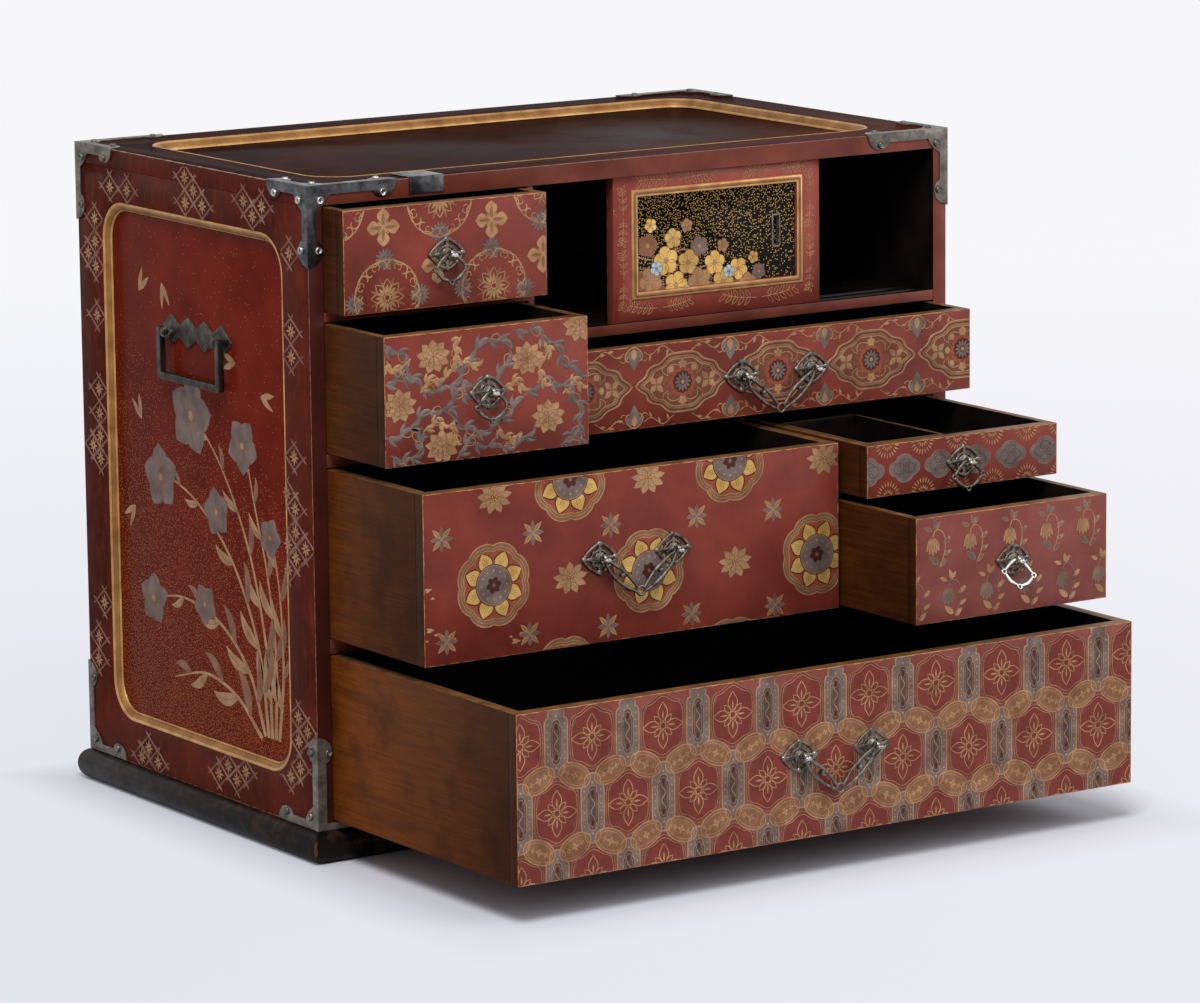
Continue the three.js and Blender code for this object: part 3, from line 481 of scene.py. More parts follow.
def night_lacquer(name, low, high):
    """Black lacquer of a sliding door's panel under a shower of gold flakes, thick at the
    top and thin towards the bottom right."""
    made, tree, place = start(name)
    x, y, z = add(tree, "SeparateXYZ", {0: place}).node.outputs
    rise = add(tree, "VectorMath", {0: place, 1: (-0.3, 0, 1)}, "Value", operation="DOT_PRODUCT")
    share = {0: rise, 1: low.z - 0.3 * high.x, 2: high.z - 0.3 * low.x, 3: 0.1, 4: 0.8}
    flat = add(tree, "CombineXYZ", {0: x, 1: z})
    gold = flakes(tree, flat, 1.1, 0.33, add(tree, "MapRange", share))
    finish(tree, painted(tree, "#12100e", (gold, "#cfa65f")),
           add(tree, "MapRange", {0: gold, 3: 0.22, 4: 0.4}), gold, 0.02,
           {"Specular IOR Level": 0.1})
    return made


SILVERED = metal("tarnished_silvered_copper", "#3d3935", "#837c72", 0.4, 4.0)
MOUNT_SILVER = metal("worn_silvered_sheet", "#4c4843", "#7d766d", 0.46, 7.0, 0.6)
DARK_IRON = metal("blackened_iron", "#1f1c1a", "#48423d", 0.42)
BLUED_IRON = metal("blued_iron", "#28292b", "#616161", 0.34)
# Lighter copy of the silvered metal: painted highlight on posts, the swung bail, nails and plate
# edges
SILVER_PAINTED_HIGHLIGHT = metal("rubbed_bright_silver", "#837f79", "#d0ccc4", 0.24)
GILT = powder("gilt_moulding", "#a5743e", "#d0a166", 0.4, 0.4, 0.2)
# Browner gilt of the mouldings' coves: painted shade in their hollows
GILT_PAINTED_SHADE = powder("gilt_cove_painted_shade", "#7c5029", "#a57843", 0.45, 0.3, 0.4)
RIM = powder("worn_gilt_rim", "#4a301c", "#80592f", 0.5, 0.25, 0.4)
INSIDE = black_lacquer("black_lacquer_inside_drawers", 0.5)
POLISHED_BLACK = black_lacquer("black_lacquer_door_floor", 0.2)
PLINTH = black_lacquer("black_lacquer_plinth", 0.34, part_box("base"), 1.5,
                       worn_spot=((-11, -10, -17), 8))
FRONT_EDGE = red_lacquer("red_lacquer_front_edges", "#56251a", "#7a3c2d", 0.36)
# Darker copy of the edge lacquer: painted shade on the left side's front edge and the sides' back
# edges
SHADED_EDGE = red_lacquer("red_lacquer_edge_painted_shade", "#34120e", "#4c1d17", 0.4)
# Powders and colours of the decoration: dark and light shade, roughness, metal and dust
PAINTS = {
    name: powder(*shade) for name, shade in {
        "gold": ("sprinkled_gold", "#8c6646", "#b99168", 0.46, 0.4, 0.3),
        "pale_gold": ("pale_sprinkled_gold", "#b08545", "#d9b468", 0.44, 0.35, 0.15),
        "bright_gold": ("bright_sprinkled_gold", "#c6943f", "#edc476", 0.38, 0.3, 0.1),
        "brown_gold": ("brown_gold_powder", "#704832", "#936a4e", 0.5, 0.3, 0.35),
        "silver": ("sprinkled_silver", "#5a4b46", "#7f706a", 0.5, 0.25, 0.3),
        "smoke": ("smoked_silver_powder", "#443735", "#5c4d49", 0.5, 0.2, 0.3),
        "rose": ("rosy_silver_powder", "#7c5244", "#a07a68", 0.5, 0.2, 0.3),
        "vermilion": ("vermilion_lacquer", "#843d27", "#994f36", 0.42, 0.0, 0.3),
        "crimson": ("crimson_lacquer", "#63261f", "#79342b", 0.4, 0.0, 0.3),
        "dark_red": ("dark_red_lacquer", "#3a1612", "#4d1f18", 0.4, 0.0, 0.3),
        "umber": ("umber_gold_powder", "#66382a", "#7d4b38", 0.48, 0.2, 0.35),
        "shell": ("blue_shell_powder", "#8fb0b8", "#c9dcdc", 0.3, 0.1, 0.1),
        "ground": ("bare_ground_of_chips", "#93664c", "#b18a6c", 0.7, 0.0, 0.1),
    }.items()
}


# Pieces that follow a CAD node

def eased(node, name, width, materials, choose=None, segments=2, angle=28):
    """Copy of a node with its doubles merged, its flat triangles joined and its sharp edges
    rounded. choose gives the faces' material numbers from their centres and normals."""
    mesh = frame["nodes"][node].data.copy()
    mesh.name = name
    shape = bmesh.new()
    shape.from_mesh(mesh)
    bmesh.ops.remove_doubles(shape, verts=shape.verts, dist=1e-6)
    flat = math.radians(0.5)
    bmesh.ops.dissolve_limit(shape, angle_limit=flat, verts=shape.verts, edges=shape.edges)
    shape.to_mesh(mesh)
    shape.free()
    mesh.materials.clear()
    for material in materials:
        mesh.materials.append(material)
    count = len(mesh.polygons)
    if choose is not None:
        centres, normals = np.zeros(count * 3), np.zeros(count * 3)
        mesh.polygons.foreach_get("center", centres)
        mesh.polygons.foreach_get("normal", normals)
        numbers = choose(centres.reshape(-1, 3) / MM - CORNER, normals.reshape(-1, 3))
        mesh.polygons.foreach_set("material_index", np.asarray(numbers, np.int32))
    mesh.polygons.foreach_set("use_smooth", np.ones(count, bool))
    made = bpy.data.objects.new(name, mesh)
    bpy.context.scene.collection.objects.link(made)
    rounding = made.modifiers.new("rounding", "BEVEL")
    rounding.width = width * MM
    rounding.segments = segments
    rounding.limit_method = "ANGLE"
    rounding.angle_limit = math.radians(angle)
    rounding.harden_normals = True
    rounding.use_clamp_overlap = True
    hand_over(made, BODY_OF[node], [node])


# How near a face's middle is to a plane that it counts as lying in, how deep under a board's
# outline a face still counts as an outer one, the same under the top's upper face, and the
# widths of the boards' eased edges
NEAR, SKIN, TOP_SKIN = 0.05, 1, 7
CASE_EDGE, SHELF_EDGE = 0.7, 0.4


def make_case():
    """Sides, top, back, partitions and plinth: boards with softly worn edges. Their inner
    faces are black, and the top's ends have the sides' lacquer."""
    sides = []
    # The left side's front edge and both sides' back edges take the darker edge lacquer: painted
    # shade.
    for side, outer, inner, edge in (("left_side", 0, 1, SHADED_EDGE),
                                     ("right_side", CASE_WIDTH, 0, FRONT_EDGE)):
        sides.append(side_lacquer("red_lacquer_" + side, *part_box(side), outer))
        within = case_box(side)[inner][0]

        def side_faces(centres, normals):
            x, y, z = centres.T
            inside = np.abs(x - within) < NEAR
            return np.select([y < NEAR, y > CASE_DEPTH - 0.3, inside], [2, 3, 1], 0)

        eased(side, side + "_board", CASE_EDGE, [sides[-1], INSIDE, edge, SHADED_EDGE],
              side_faces)

    def top_faces(centres, normals):
        x, y, z = centres.T
        below = (normals[:, 2] < -0.5) | (z < CASE_HEIGHT - TOP_SKIN)
        return np.select([y < NEAR, x < SKIN, x > CASE_WIDTH - SKIN, below], [2, 3, 4, 1], 0)

    top = top_lacquer("aubergine_lacquer_top", *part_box("top_board"))
    eased("top_board", "top_board_panelled", CASE_EDGE, [top, INSIDE, FRONT_EDGE, *sides],
          top_faces)
    back = red_lacquer("red_lacquer_back", "#3d130d", "#602117", 0.4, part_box("back_panel"))
    eased("back_panel", "back_board", 0.5, [back, INSIDE],
          lambda centres, normals: normals[:, 1] < -0.5)
    for node in ("lower_shelf", "middle_shelf", "door_shelf", "left_partition", "right_partition"):
        within = POLISHED_BLACK if node == "door_shelf" else INSIDE
        eased(node, node + "_board", SHELF_EDGE, [FRONT_EDGE, within],
              lambda centres, normals: centres[:, 1] >= NEAR)
    eased("base", "plinth_and_floor", 0.6, [PLINTH], segments=3, angle=35)


def rounded_path(low, high, radius, steps=14):
    """Closed 2-D path round a rectangle with round corners, with its unit outward normals."""
    points, normals = [], []
    for quarter, (right, top) in enumerate([(1, 1), (0, 1), (0, 0), (1, 0)]):
        angle = (quarter + np.linspace(0, 1, steps + 1)) * np.pi / 2
        out = np.stack([np.cos(angle), np.sin(angle)], 1)
        centre = [high[0] - radius if right else low[0] + radius,
                  high[1] - radius if top else low[1] + radius]
        points.append(centre + radius * out)
        normals.append(out)
    return np.concatenate(points), np.concatenate(normals)


PANEL_CORNER = 24.0
TOP_SINK, SIDE_SINK = 5.2, 4.0
# Sections of the moulding: distance in from the outline, and height as a share of the sink
BEAD = [(0.2, 0.1), (0.2, 0.92), (0.6, 1.0), (1.0, 1.03), (1.4, 1.0), (1.8, 0.93), (2.2, 0.84),
        (2.2, 0.1)]
COVE = [(2.1, 0.05), (2.1, 0.8), (2.7, 0.8), (3.3, 0.7), (3.9, 0.55), (4.4, 0.38), (4.7, 0.24),
        (4.7, 0.05)]
FOOT = [(4.6, 0.02), (4.6, 0.2), (4.9, 0.27), (5.2, 0.24), (5.5, 0.14), (5.6, 0.02)]


def make_moulding(node, axes, outward, face, sink):
    """Gilt moulding round a sunk panel: a bright bead on the rim, a cove down to the panel in
    browner gilt, which is painted shade in its hollow, and a bright foot, as three profiles
    carried round the recess."""
    low, high = case_box(node)
    axes = list(axes)
    path, normals = rounded_path(low[axes] - 0.2, high[axes] + 0.2, PANEL_CORNER)
    line = np.full((len(path), 3), float(face))
    line[:, axes] = path
    across = np.zeros((len(path), 3))
    across[:, axes] = -normals
    up = np.zeros((len(path), 3))
    up[:, 3 - sum(axes)] = outward
    for name, sections, material, replaced in (("_ring", (BEAD, FOOT), GILT, [node]),
                                               ("_cove", (COVE,), GILT_PAINTED_SHADE, ())):
        shells = Shells()
        for section in sections:
            shells.add(*sweep(line, across, up, np.array(section) * [1, sink], closed=True))
        shells.piece(node + name, material, "case", "gilt", replaced)


# Drawers

DRAWERS = [
    "top_left_drawer", "middle_left_drawer", "middle_right_drawer", "tall_drawer",
    "tray_drawer", "low_right_drawer", "bottom_drawer",
]
WIDE_PULL_SPAN = 50.8
# Dark and light shade of the fronts that differ from the others
FRONT_SHADES = {
    "tall_drawer": ("#60241b", "#82372b"), "bottom_drawer": ("#68322a", "#85483e"),
    "low_right_drawer": ("#6a322b", "#884941"),
}


def make_drawer(drawer):
    """Front and box of a drawer: decorated lacquer on the front, black inside, stained wood
    at the sides and a worn gilt rim."""
    shades = FRONT_SHADES.get(drawer, ("#65291f", "#853a2e"))
    front = red_lacquer("bengara_lacquer_" + drawer, *shades, 0.4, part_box(drawer + "_front"),
                        width=0.55)
    wood = stained_wood("stained_wood_" + drawer, *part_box(drawer + "_box"))
    front_high = case_box(drawer + "_front")[1]

    def front_faces(centres, normals):
        rim, behind = centres[:, 2] > front_high[2] - NEAR, centres[:, 1] > front_high[1] - NEAR
        ends = (np.abs(normals[:, 0]) > 0.7) | (normals[:, 2] < -0.7)
        return np.select([rim, behind, ends], [2, 1, 3], 0)

    eased(drawer + "_front", drawer + "_front_board", 0.45, [front, INSIDE, RIM, wood],
          front_faces)
    low, high = case_box(drawer + "_box")

    def box_faces(centres, normals):
        x, y, z = centres.T
        inner = ((x > low[0] + SKIN) & (x < high[0] - SKIN) & (z > low[2] + SKIN)
                 & (y < high[1] - SKIN))
        return np.select([z > high[2] - NEAR, inner], [2, 1], 0)

    eased(drawer + "_box", drawer + "_sides", 0.5, [wood, INSIDE, RIM], box_faces)


def make_drawers():
    """The seven drawers and the lift-out tray."""
    for drawer in DRAWERS:
        make_drawer(drawer)
    top = case_box("lift_out_tray")[1][2]
    tray = black_lacquer("black_lacquer_tray", 0.14)
    eased("lift_out_tray", "lift_out_tray_box", 0.4, [tray, RIM],
          lambda centres, normals: centres[:, 2] > top - NEAR)


# Doors

DOOR_BEAD_RISE = 0.8
DOOR_PANEL_SINK = 1.6
DOOR_STILE = 19.0
# Depths behind the door's front: of its eased edges, and one that its panel's face is above
DOOR_SKIN, DOOR_PANEL_REACH = 0.5, 4.0
# How far the finger slot's middle is from the door's end, and above the door's middle
SLOT_INSET, SLOT_RISE = 31.0, 1.75


def make_door(node):
    """Sliding door: red frame, gilt bead, a black panel showered with gold, and a finger slot
    that is lined with silvered sheet."""
    low, high = case_box(node)
    front = low[1] + DOOR_BEAD_RISE
    frame_red = red_lacquer("bengara_lacquer_" + node, "#7a3328", "#94443a", 0.36,
                            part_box(node), width=0.6)
    night = night_lacquer("gold_flaked_lacquer_" + node, *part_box(node))

    def door_faces(centres, normals):
        x, y, z = centres.T
        behind = y > front + DOOR_SKIN
        panel = behind & (y < front + DOOR_PANEL_REACH) & (normals[:, 1] < -0.5)
        slot = behind & (y < high[1] - DOOR_SKIN)
        slot &= (x > low[0] + DOOR_STILE) & (x < high[0] - DOOR_STILE)
        slot &= (z > low[2] + DOOR_STILE) & (z < high[2] - DOOR_STILE)
        return np.select([y < front - NEAR, panel, slot], [1, 2, 3], 0)

    eased(node, node + "_leaf", 0.35, [frame_red, GILT, night, MOUNT_SILVER], door_faces)
    across = high[0] - SLOT_INSET if node == "front_sliding_door" else low[0] + SLOT_INSET
    middle = np.array([across, front + DOOR_PANEL_SINK, (low[2] + high[2]) / 2 + SLOT_RISE])
    outline = rounded_path((-2.6, -9.6), (2.6, 9.6), 1.2, 3)[0]
    rim = Shells()
    rim.add(*strip((middle, RIGHT, UP, -BACK), outline, 1.2, 0.8, 0.3, closed=True))
    rim.piece(node + "_slot_rim", MOUNT_SILVER, BODY_OF[node], SLOT_OF["mount_top_front_right"])


# Metalwork

PLATE_HALF = (12.4, 10.0)
PLATE_THICKNESS = 1.2
EYE_REACH = 5.2
EYE_RADIUS = 2.9
BALL = [(0, -1.9), (0.9, -1.7), (1.5, -0.9), (1.7, 0.0), (1.5, 0.9), (0.9, 1.6), (0, 1.8)]
BOSS = [(0, 0.1), (3.6, 0.2), (3.7, 1.0), (3.1, 1.6), (2.0, 1.8), (1.5, 2.3), (0, 2.5)]
TIP = [(0, 0.2), (1.7, 0.3), (1.9, 0.9), (1.2, 1.7), (0, 1.9)]


def lozenge(half_width, half_height, bow, steps=9):
    """Closed lozenge outline with rounded tips: its four sides bow outwards."""
    tips = np.array([(half_width, 0), (0, half_height), (-half_width, 0), (0, -half_height)])
    following = np.roll(tips, -1, 0)
    middle = (tips + following) / 2 * (1 + bow)
    after = tips + 0.16 * (middle - tips) + 0.02 * middle
    before = following + 0.16 * (middle - following) + 0.02 * middle
    return spline(np.stack([tips * 0.98, after, middle, before], 1).reshape(-1, 2), steps, True)


def ring_path(centre, radius, steps=16):
    """Circle as a closed 2-D path."""
    angle = np.linspace(0, 2 * np.pi, steps, endpoint=False)
    return np.asarray(centre) + radius * np.stack([np.cos(angle), np.sin(angle)], 1)


def add_plate(shells, plane):
    """Openwork plate: a lozenge rim, an inner lozenge, a cross of bars between them with a
    knob on each end, four small rings, and a boss."""
    w, h = PLATE_HALF
    out = PLATE_THICKNESS / 2 + 0.15
    shells.add(*strip(plane, lozenge(w - 0.9, h - 0.9, 0.16), 1.8, 1.3, out, closed=True))
    shells.add(*strip(plane, lozenge(w * 0.52, h * 0.52, 0.2), 1.3, 1.1, out, closed=True))
    for quarter in range(4):
        c, s = math.cos(quarter * math.pi / 2), math.sin(quarter * math.pi / 2)
        reach = w if quarter % 2 == 0 else h
        path = np.linspace([1.5 * c, 1.5 * s], [(reach - 1.2) * c, (reach - 1.2) * s], 5)
        shells.add(*strip(plane, path, np.linspace(2.6, 1.7, 5), 1.2, out))
        shells.add(*placed(turned(TIP, 14), plane, (reach - 1.7) * (c * plane[1] + s * plane[2])))
        diagonal = math.pi / 4 + quarter * math.pi / 2
        spot = (w * 0.40 * math.cos(diagonal), h * 0.40 * math.sin(diagonal))
        shells.add(*strip(plane, ring_path(spot, 1.5, 12), 0.8, 0.9, out, closed=True))
    shells.add(*placed(turned(BOSS, 20), plane))


def add_post(shells, plane):
    """Post whose flat eye stands upright, with a small cloven ball on its end."""
    origin, right, upward, outward = plane
    eye = (origin + EYE_REACH * outward, outward, upward, right)
    circle = ring_path((0, 0), EYE_RADIUS - 0.65, 24)
    shells.add(*strip(eye, circle, 1.3, 2.0, 0, closed=True))
    for side in (-1, 1):
        shift = (EYE_REACH + EYE_RADIUS + 0.9) * outward + side * 0.75 * right
        shells.add(*placed(turned(BALL, 14), plane, shift))


def bail_plane(drawer, swing=0.0, tilt=0.0):
    """Plane of a bail: it hangs from the middle of its drawer's hinge line, swung out and
    tilted by two angles."""
    low, high = case_box(drawer + "_front")
    hinge = np.array([(low[0] + high[0]) / 2, low[1] - EYE_REACH, (low[2] + high[2]) / 2])
    turn = np.array(Matrix.Rotation(-swing, 3, "X") @ Matrix.Rotation(tilt, 3, "Y"))
    return hinge, turn[:, 0], turn[:, 2], -turn[:, 1]


RING_HALF_WIDTH = 10.4
RING_DROP = 16.0
WIDE_BAIL_DROP = 21.0
EYELET = 1.35


def add_bowed_bars(shells, plane, curves, side, swell):
    """Bars of a bail along smooth curves, on one side: 1.5 mm wide at the ends and wider by
    the swell, times a half sine, between them."""
    for chosen in curves:
        path = spline(np.array(chosen) * [side, 1])
        width = 1.5 + swell * np.sin(np.linspace(0, np.pi, len(path)))
        shells.add(*strip(plane, path, width, 1.6))


def ring_bail(node, material, swing, tilt):
    """Lens-sided ring: two bowed bars from the hinge to eyelets at the sides and two more to
    an eyelet at the foot."""
    plane = bail_plane(node.replace("_pull_bail", ""), swing, tilt)
    shells = Shells()
    w, drop = RING_HALF_WIDTH, RING_DROP
    side = drop / 2
    for s in (-1, 1):
        upper = [(0, 0), (2.6, -0.3), (w * 0.62, -side * 0.42), (w - 0.6, 0.8 - side)]
        lower = [(w - 0.6, -side - 0.8), (w * 0.60, -side * 1.62), (1.2, 0.7 - drop)]
        add_bowed_bars(shells, plane, (upper, lower), s, 0.9)
        eyelet = ring_path((s * w, -side), EYELET)
        shells.add(*strip(plane, eyelet, 1.1, 1.6, closed=True))
    shells.add(*strip(plane, ring_path((0, -drop), EYELET), 1.1, 1.6, closed=True))
    shells.stand_in(node, "_ring", material)


def wide_bail(node):
    """Wide bail: each leg is two bowed bars that part and meet again, and the two legs end
    in a small ring. A pin turned in each eye carries the upper ends."""
    plane = bail_plane(node.replace("_pull_bail", ""))
    shells = Shells()
    half, drop = WIDE_PULL_SPAN / 2, WIDE_BAIL_DROP
    knob = [(0, -1.9), (1.3, -1.5), (1.7, 0), (1.3, 1.5), (0, 1.9)]
    for s in (-1, 1):
        inner = [(half - 1.0, -0.4), (half * 0.70, -drop * 0.20), (half * 0.36, -drop * 0.52),
                 (2.2, 1.8 - drop)]
        outer = [(half - 0.6, -0.9), (half * 0.80, -drop * 0.44), (half * 0.44, -drop * 0.82),
                 (2.6, -drop - 0.6)]
        add_bowed_bars(shells, plane, (inner, outer), s, 0.7)
        pin = np.linspace([s * (half - 2.4), 0], [s * (half + 2.2), 0], 4)
        shells.add(*strip(plane, pin, 1.7, 1.6, rounding=0.5))
        shift = s * half * 0.52 * plane[1] - drop * 0.50 * plane[2]
        shells.add(*placed(turned(knob, 12), plane, shift))
    shells.add(*strip(plane, ring_path((0, -drop), 2.6), 1.6, 1.6, closed=True))
    shells.stand_in(node, "_wide", SILVERED)


def make_pulls():
    """Plates, posts and bails of the seven drawers. The posts, and the low right drawer's bail,
    which hangs swung out and askew, are in a lighter silver that is painted highlight."""
    swing, tilt = math.radians(24), math.radians(13)
    for drawer in DRAWERS:
        low, high = case_box(drawer + "_front")
        x, z = (low[0] + high[0]) / 2, (low[2] + high[2]) / 2
        wide = drawer in ("middle_right_drawer", "tall_drawer", "bottom_drawer")
        places = {"_left": -WIDE_PULL_SPAN / 2, "_right": WIDE_PULL_SPAN / 2} if wide else {"": 0}
        for suffix, shift in places.items():
            node = drawer + "_pull_plate" + suffix
            plane = (np.array([x + shift, low[1], z]), RIGHT, UP, -BACK)
            plate, post = Shells(), Shells()
            add_plate(plate, plane)
            plate.stand_in(node, "_openwork", SILVERED)
            add_post(post, plane)
            # the posts are in the lighter silver: painted highlight
            post.piece(node + "_post", SILVER_PAINTED_HIGHLIGHT, BODY_OF[node], SLOT_OF[node])
        bail = drawer + "_pull_bail"
        if wide:
            wide_bail(bail)
        elif drawer == "low_right_drawer":
            # the swung bail is in the lighter silver: painted highlight
            ring_bail(bail, SILVER_PAINTED_HIGHLIGHT, swing, tilt)
        else:
            ring_bail(bail, SILVERED, 0.0, 0.0)


SHEET_FACE = 0.9
# Radius and height of a nail's dished head
NAIL_PROFILE = np.array([
    (0, 0.7), (0.5, 0.7), (0.9, 0.95), (1.3, 1.35), (1.8, 1.5), (2.2, 1.2), (2.4, 0.6),
    (2.4, 0.0), (0, 0.0),
])
# Nails of each leaf: two distances from the corner's edges, and size
TOP_NAILS = {
    "front": [(6.2, 36.5, 1), (7.8, 7.8, 1), (49.5, 6.2, 1)],
    "side": [(34.6, 6.2, 1), (7.8, 7.8, 1), (6.2, 36.5, 1)],
    "level": [(49.5, 6.2, 0.8), (7.8, 7.8, 0.8), (6.2, 34.6, 0.8)],
}
BOTTOM_NAILS = {
    "front": [(23, 2.3, 0.6), (6.2, 46, 1)],
    "side": [(6.2, 46, 1), (7.8, 7.8, 1), (34.6, 6.2, 1)],
}


def add_nails(shells, leaves, right, back, top):
    """Nails of one corner. Each leaf's two distances run from the corner along its own two
    directions, and its heads point out of it."""
    along = RIGHT * (-1 if right else 1)
    inward = BACK * (-1 if back else 1)
    rise = UP * (-1 if top else 1)
    corner = np.array([CASE_WIDTH if right else 0, CASE_DEPTH if back else 0,
                       CASE_HEIGHT if top else 0])
    directions = {
        "front": (along, rise, -inward), "side": (inward, rise, -along),
        "level": (along, inward, UP),
    }
    for leaf, nails in leaves.items():
        first, second, outward = directions[leaf]
        for a, b, size in nails:
            origin = corner + a * first + b * second + SHEET_FACE * outward
            plane = (origin, first, second, outward)
            shells.add(*placed(turned(NAIL_PROFILE * [size, size], 16), plane))


def make_mounts():
    """Corner mounts of thin sheet with dished nail heads, the strike plate and the carrying
    handles. The dark mount's nails and the handle plates' edges are in a lighter silver that
    is painted highlight."""
    for level, leaves in (("top", TOP_NAILS), ("bottom", BOTTOM_NAILS)):
        for corner in ("front_left", "front_right", "back_left", "back_right"):
            node = f"mount_{level}_{corner}"
            dark = level == "top" and corner == "front_left"
            eased(node, node + "_sheet", 0.25, [BLUED_IRON if dark else MOUNT_SILVER], angle=35)
            nails = Shells()
            add_nails(nails, leaves, "right" in corner, "back" in corner, level == "top")
            # the dark mount's nails are in the lighter silver: painted highlight
            nails.piece(node + "_nails", SILVER_PAINTED_HIGHLIGHT if dark else SILVERED, "case", SLOT_OF[node])
    eased("strike_plate", "strike_plate_sheet", 0.25, [BLUED_IRON])
    for side in ("left", "right"):
        # the plate's edge faces are in the lighter silver: painted highlight
        eased(side + "_handle_plate", side + "_handle_plate_zigzag", 0.45, [DARK_IRON, SILVER_PAINTED_HIGHLIGHT],
              lambda centres, normals: np.abs(normals[:, 0]) < 0.5, angle=35)
        eased(side + "_handle_bail", side + "_handle_grip", 0.9, [DARK_IRON], segments=3, angle=35)


# Decoration

# Heights of the layers above the lacquer, and how much each stroke differs from the last
GROUND, FIELD, OVER, LINE, UPPER, VEIN, DISC, RELIEF, CROWN = (
    0.02, 0.05, 0.10, 0.16, 0.22, 0.28, 0.34, 0.40, 0.46)
HEIGHT_STEP = 0.0013
STEPS_BEFORE_REPEAT = 31
FIELD_FOOT = 0.005
# How far a petal's drawn edge lies above its field, singly and in a bloom
PETAL_EDGE, BLOOM_EDGE = 0.05, 0.06
# Section of a stroke: across as a share of its width, and up as a share of its height
STROKE = np.array([(-0.5, 0.01), (-0.36, 1), (0.36, 1), (0.5, 0.01)])


class Decoration:
    """Strokes and fields of metal powder on one flat face. A place on it is two of the case's
    coordinates in millimetres. Nothing is drawn outside its rectangle, and no stroke goes
    through its hole, which is a smaller rectangle."""

    def __init__(self, plane, low, high, hole=None):
        self.plane, self.low, self.high = plane, np.array(low), np.array(high)
        self.hole, self.shells, self.drawn = hole, {}, 0

    def height(self, level):
        """Height of the next stroke: each one differs a little, so that no two lie flush."""
        self.drawn += 1
        return level + HEIGHT_STEP * (self.drawn % STEPS_BEFORE_REPEAT)

    def runs(self, path, closed):
        """Stretches of a path that lie inside the rectangle, each with whether it closes."""
        inside = np.all((path >= self.low) & (path <= self.high), 1)
        if self.hole is not None:
            inside &= ~np.all((path > self.hole[0]) & (path < self.hole[1]), 1)
        if inside.all():
            return [(path, closed)]
        if not inside.any():
            return []
        if closed:
            first = int(np.argmin(inside))
            path, inside = np.roll(path, -first, 0), np.roll(inside, -first)
        edges = np.flatnonzero(np.diff(np.concatenate([[0], inside.astype(int), [0]])))
        found = []
        for begin, end in edges.reshape(-1, 2):
            run = path[max(begin - 1, 0):end + 1]
            if len(run) > 2:
                found.append((np.clip(run, self.low, self.high), False))
        return found

    def line(self, paint, path, width, closed=False, level=LINE):
        """Stroke with sloping edges: at each point of the path four corners, two at the foot
        and two nearer together at the top."""
        origin, right, upward, outward = self.plane
        axes = np.array([right, upward])
        path = np.asarray(path, float)
        width = np.broadcast_to(width, (len(path),)).astype(float)
        for run, whole in self.runs(path, closed):
            wide = width if len(run) == len(path) else np.full(len(run), width.mean())
            along = tangents(run, whole)
            across = np.stack([along[:, 1], -along[:, 0]], 1) @ axes
            sides = STROKE[None, :, 0] * wide[:, None]
            rise = np.broadcast_to(STROKE[None, :, 1] * self.height(level), sides.shape)
            up = np.broadcast_to(outward, across.shape)
            stroke = sweep(origin + run @ axes, across, up, np.stack([sides, rise], 2), whole)
            self.shells.setdefault(paint, Shells()).add(*stroke)

    def field(self, paint, outline, level=FIELD):
        """Flat field with an outline, cut off at the rectangle: a thin closed plate."""
        outline = np.asarray(outline, float)
        for axis in (0, 1):
            for bound, sign in ((self.low[axis], 1), (self.high[axis], -1)):
                outline = cut_outline(outline, axis, bound, sign)
                if len(outline) < 3:
                    return
        triangles = np.array(tessellate_polygon([[Vector((*p, 0)) for p in outline]]))
        if not len(triangles):
            return
        origin, right, upward, outward = self.plane
        flat = origin + outline @ np.array([right, upward])
        count = len(flat)
        top = flat + self.height(level) * outward
        points = np.concatenate([flat + FIELD_FOOT * outward, top])
        signed = np.cross(flat[triangles[:, 1]] - flat[triangles[:, 0]],
                          flat[triangles[:, 2]] - flat[triangles[:, 0]]) @ outward
        triangles[signed < 0] = triangles[signed < 0][:, ::-1]
        j = np.arange(count)
        over = (j + 1) % count
        walls = np.stack([j, over, over + count, j + count], 1)
        rolled = np.roll(outline, -1, 0)
        turning = np.sum(outline[:, 0] * rolled[:, 1] - rolled[:, 0] * outline[:, 1])
        if turning * (np.cross(right, upward) @ outward) < 0:
            walls = walls[:, ::-1]
        caps = np.concatenate([triangles[:, ::-1], triangles + count])
        self.shells.setdefault(paint, Shells()).add(points, walls, caps)

    def layers(self, shape, centre, turn, *rows):
        """Lays fields and closed lines of one shape over each other. Each row has a paint, the
        line's width or nought for a field, a level and how far the shape is scaled, which is
        one number, or one along it and one across it."""
        for paint, width, level, *scale in rows:
            outline = moved(np.asarray(shape) * (scale or [1]), centre, turn)
            if width:
                self.line(paint, outline, width, closed=True, level=level)
            else:
                self.field(paint, outline, level)

    def pieces(self, name, body):
        """Makes one piece of each paint."""
        for paint, shells in self.shells.items():
            shells.piece(f"{name}_{paint}", PAINTS[paint], body, "gilt")


def cut_outline(outline, axis, bound, sign):
    """Part of an outline on one side of a line: each edge that crosses the line gets a point
    on it, and the points beyond it go."""
    gap = sign * (outline[:, axis] - bound)
    following, gap_after = np.roll(outline, -1, 0), np.roll(gap, -1)
    crosses = gap * gap_after < 0
    share = np.where(crosses, gap / np.where(crosses, gap - gap_after, 1), 0)
    meeting = outline + (following - outline) * share[:, None]
    points = np.stack([outline, meeting], 1).reshape(-1, 2)
    return points[np.stack([gap >= 0, crosses], 1).ravel()]


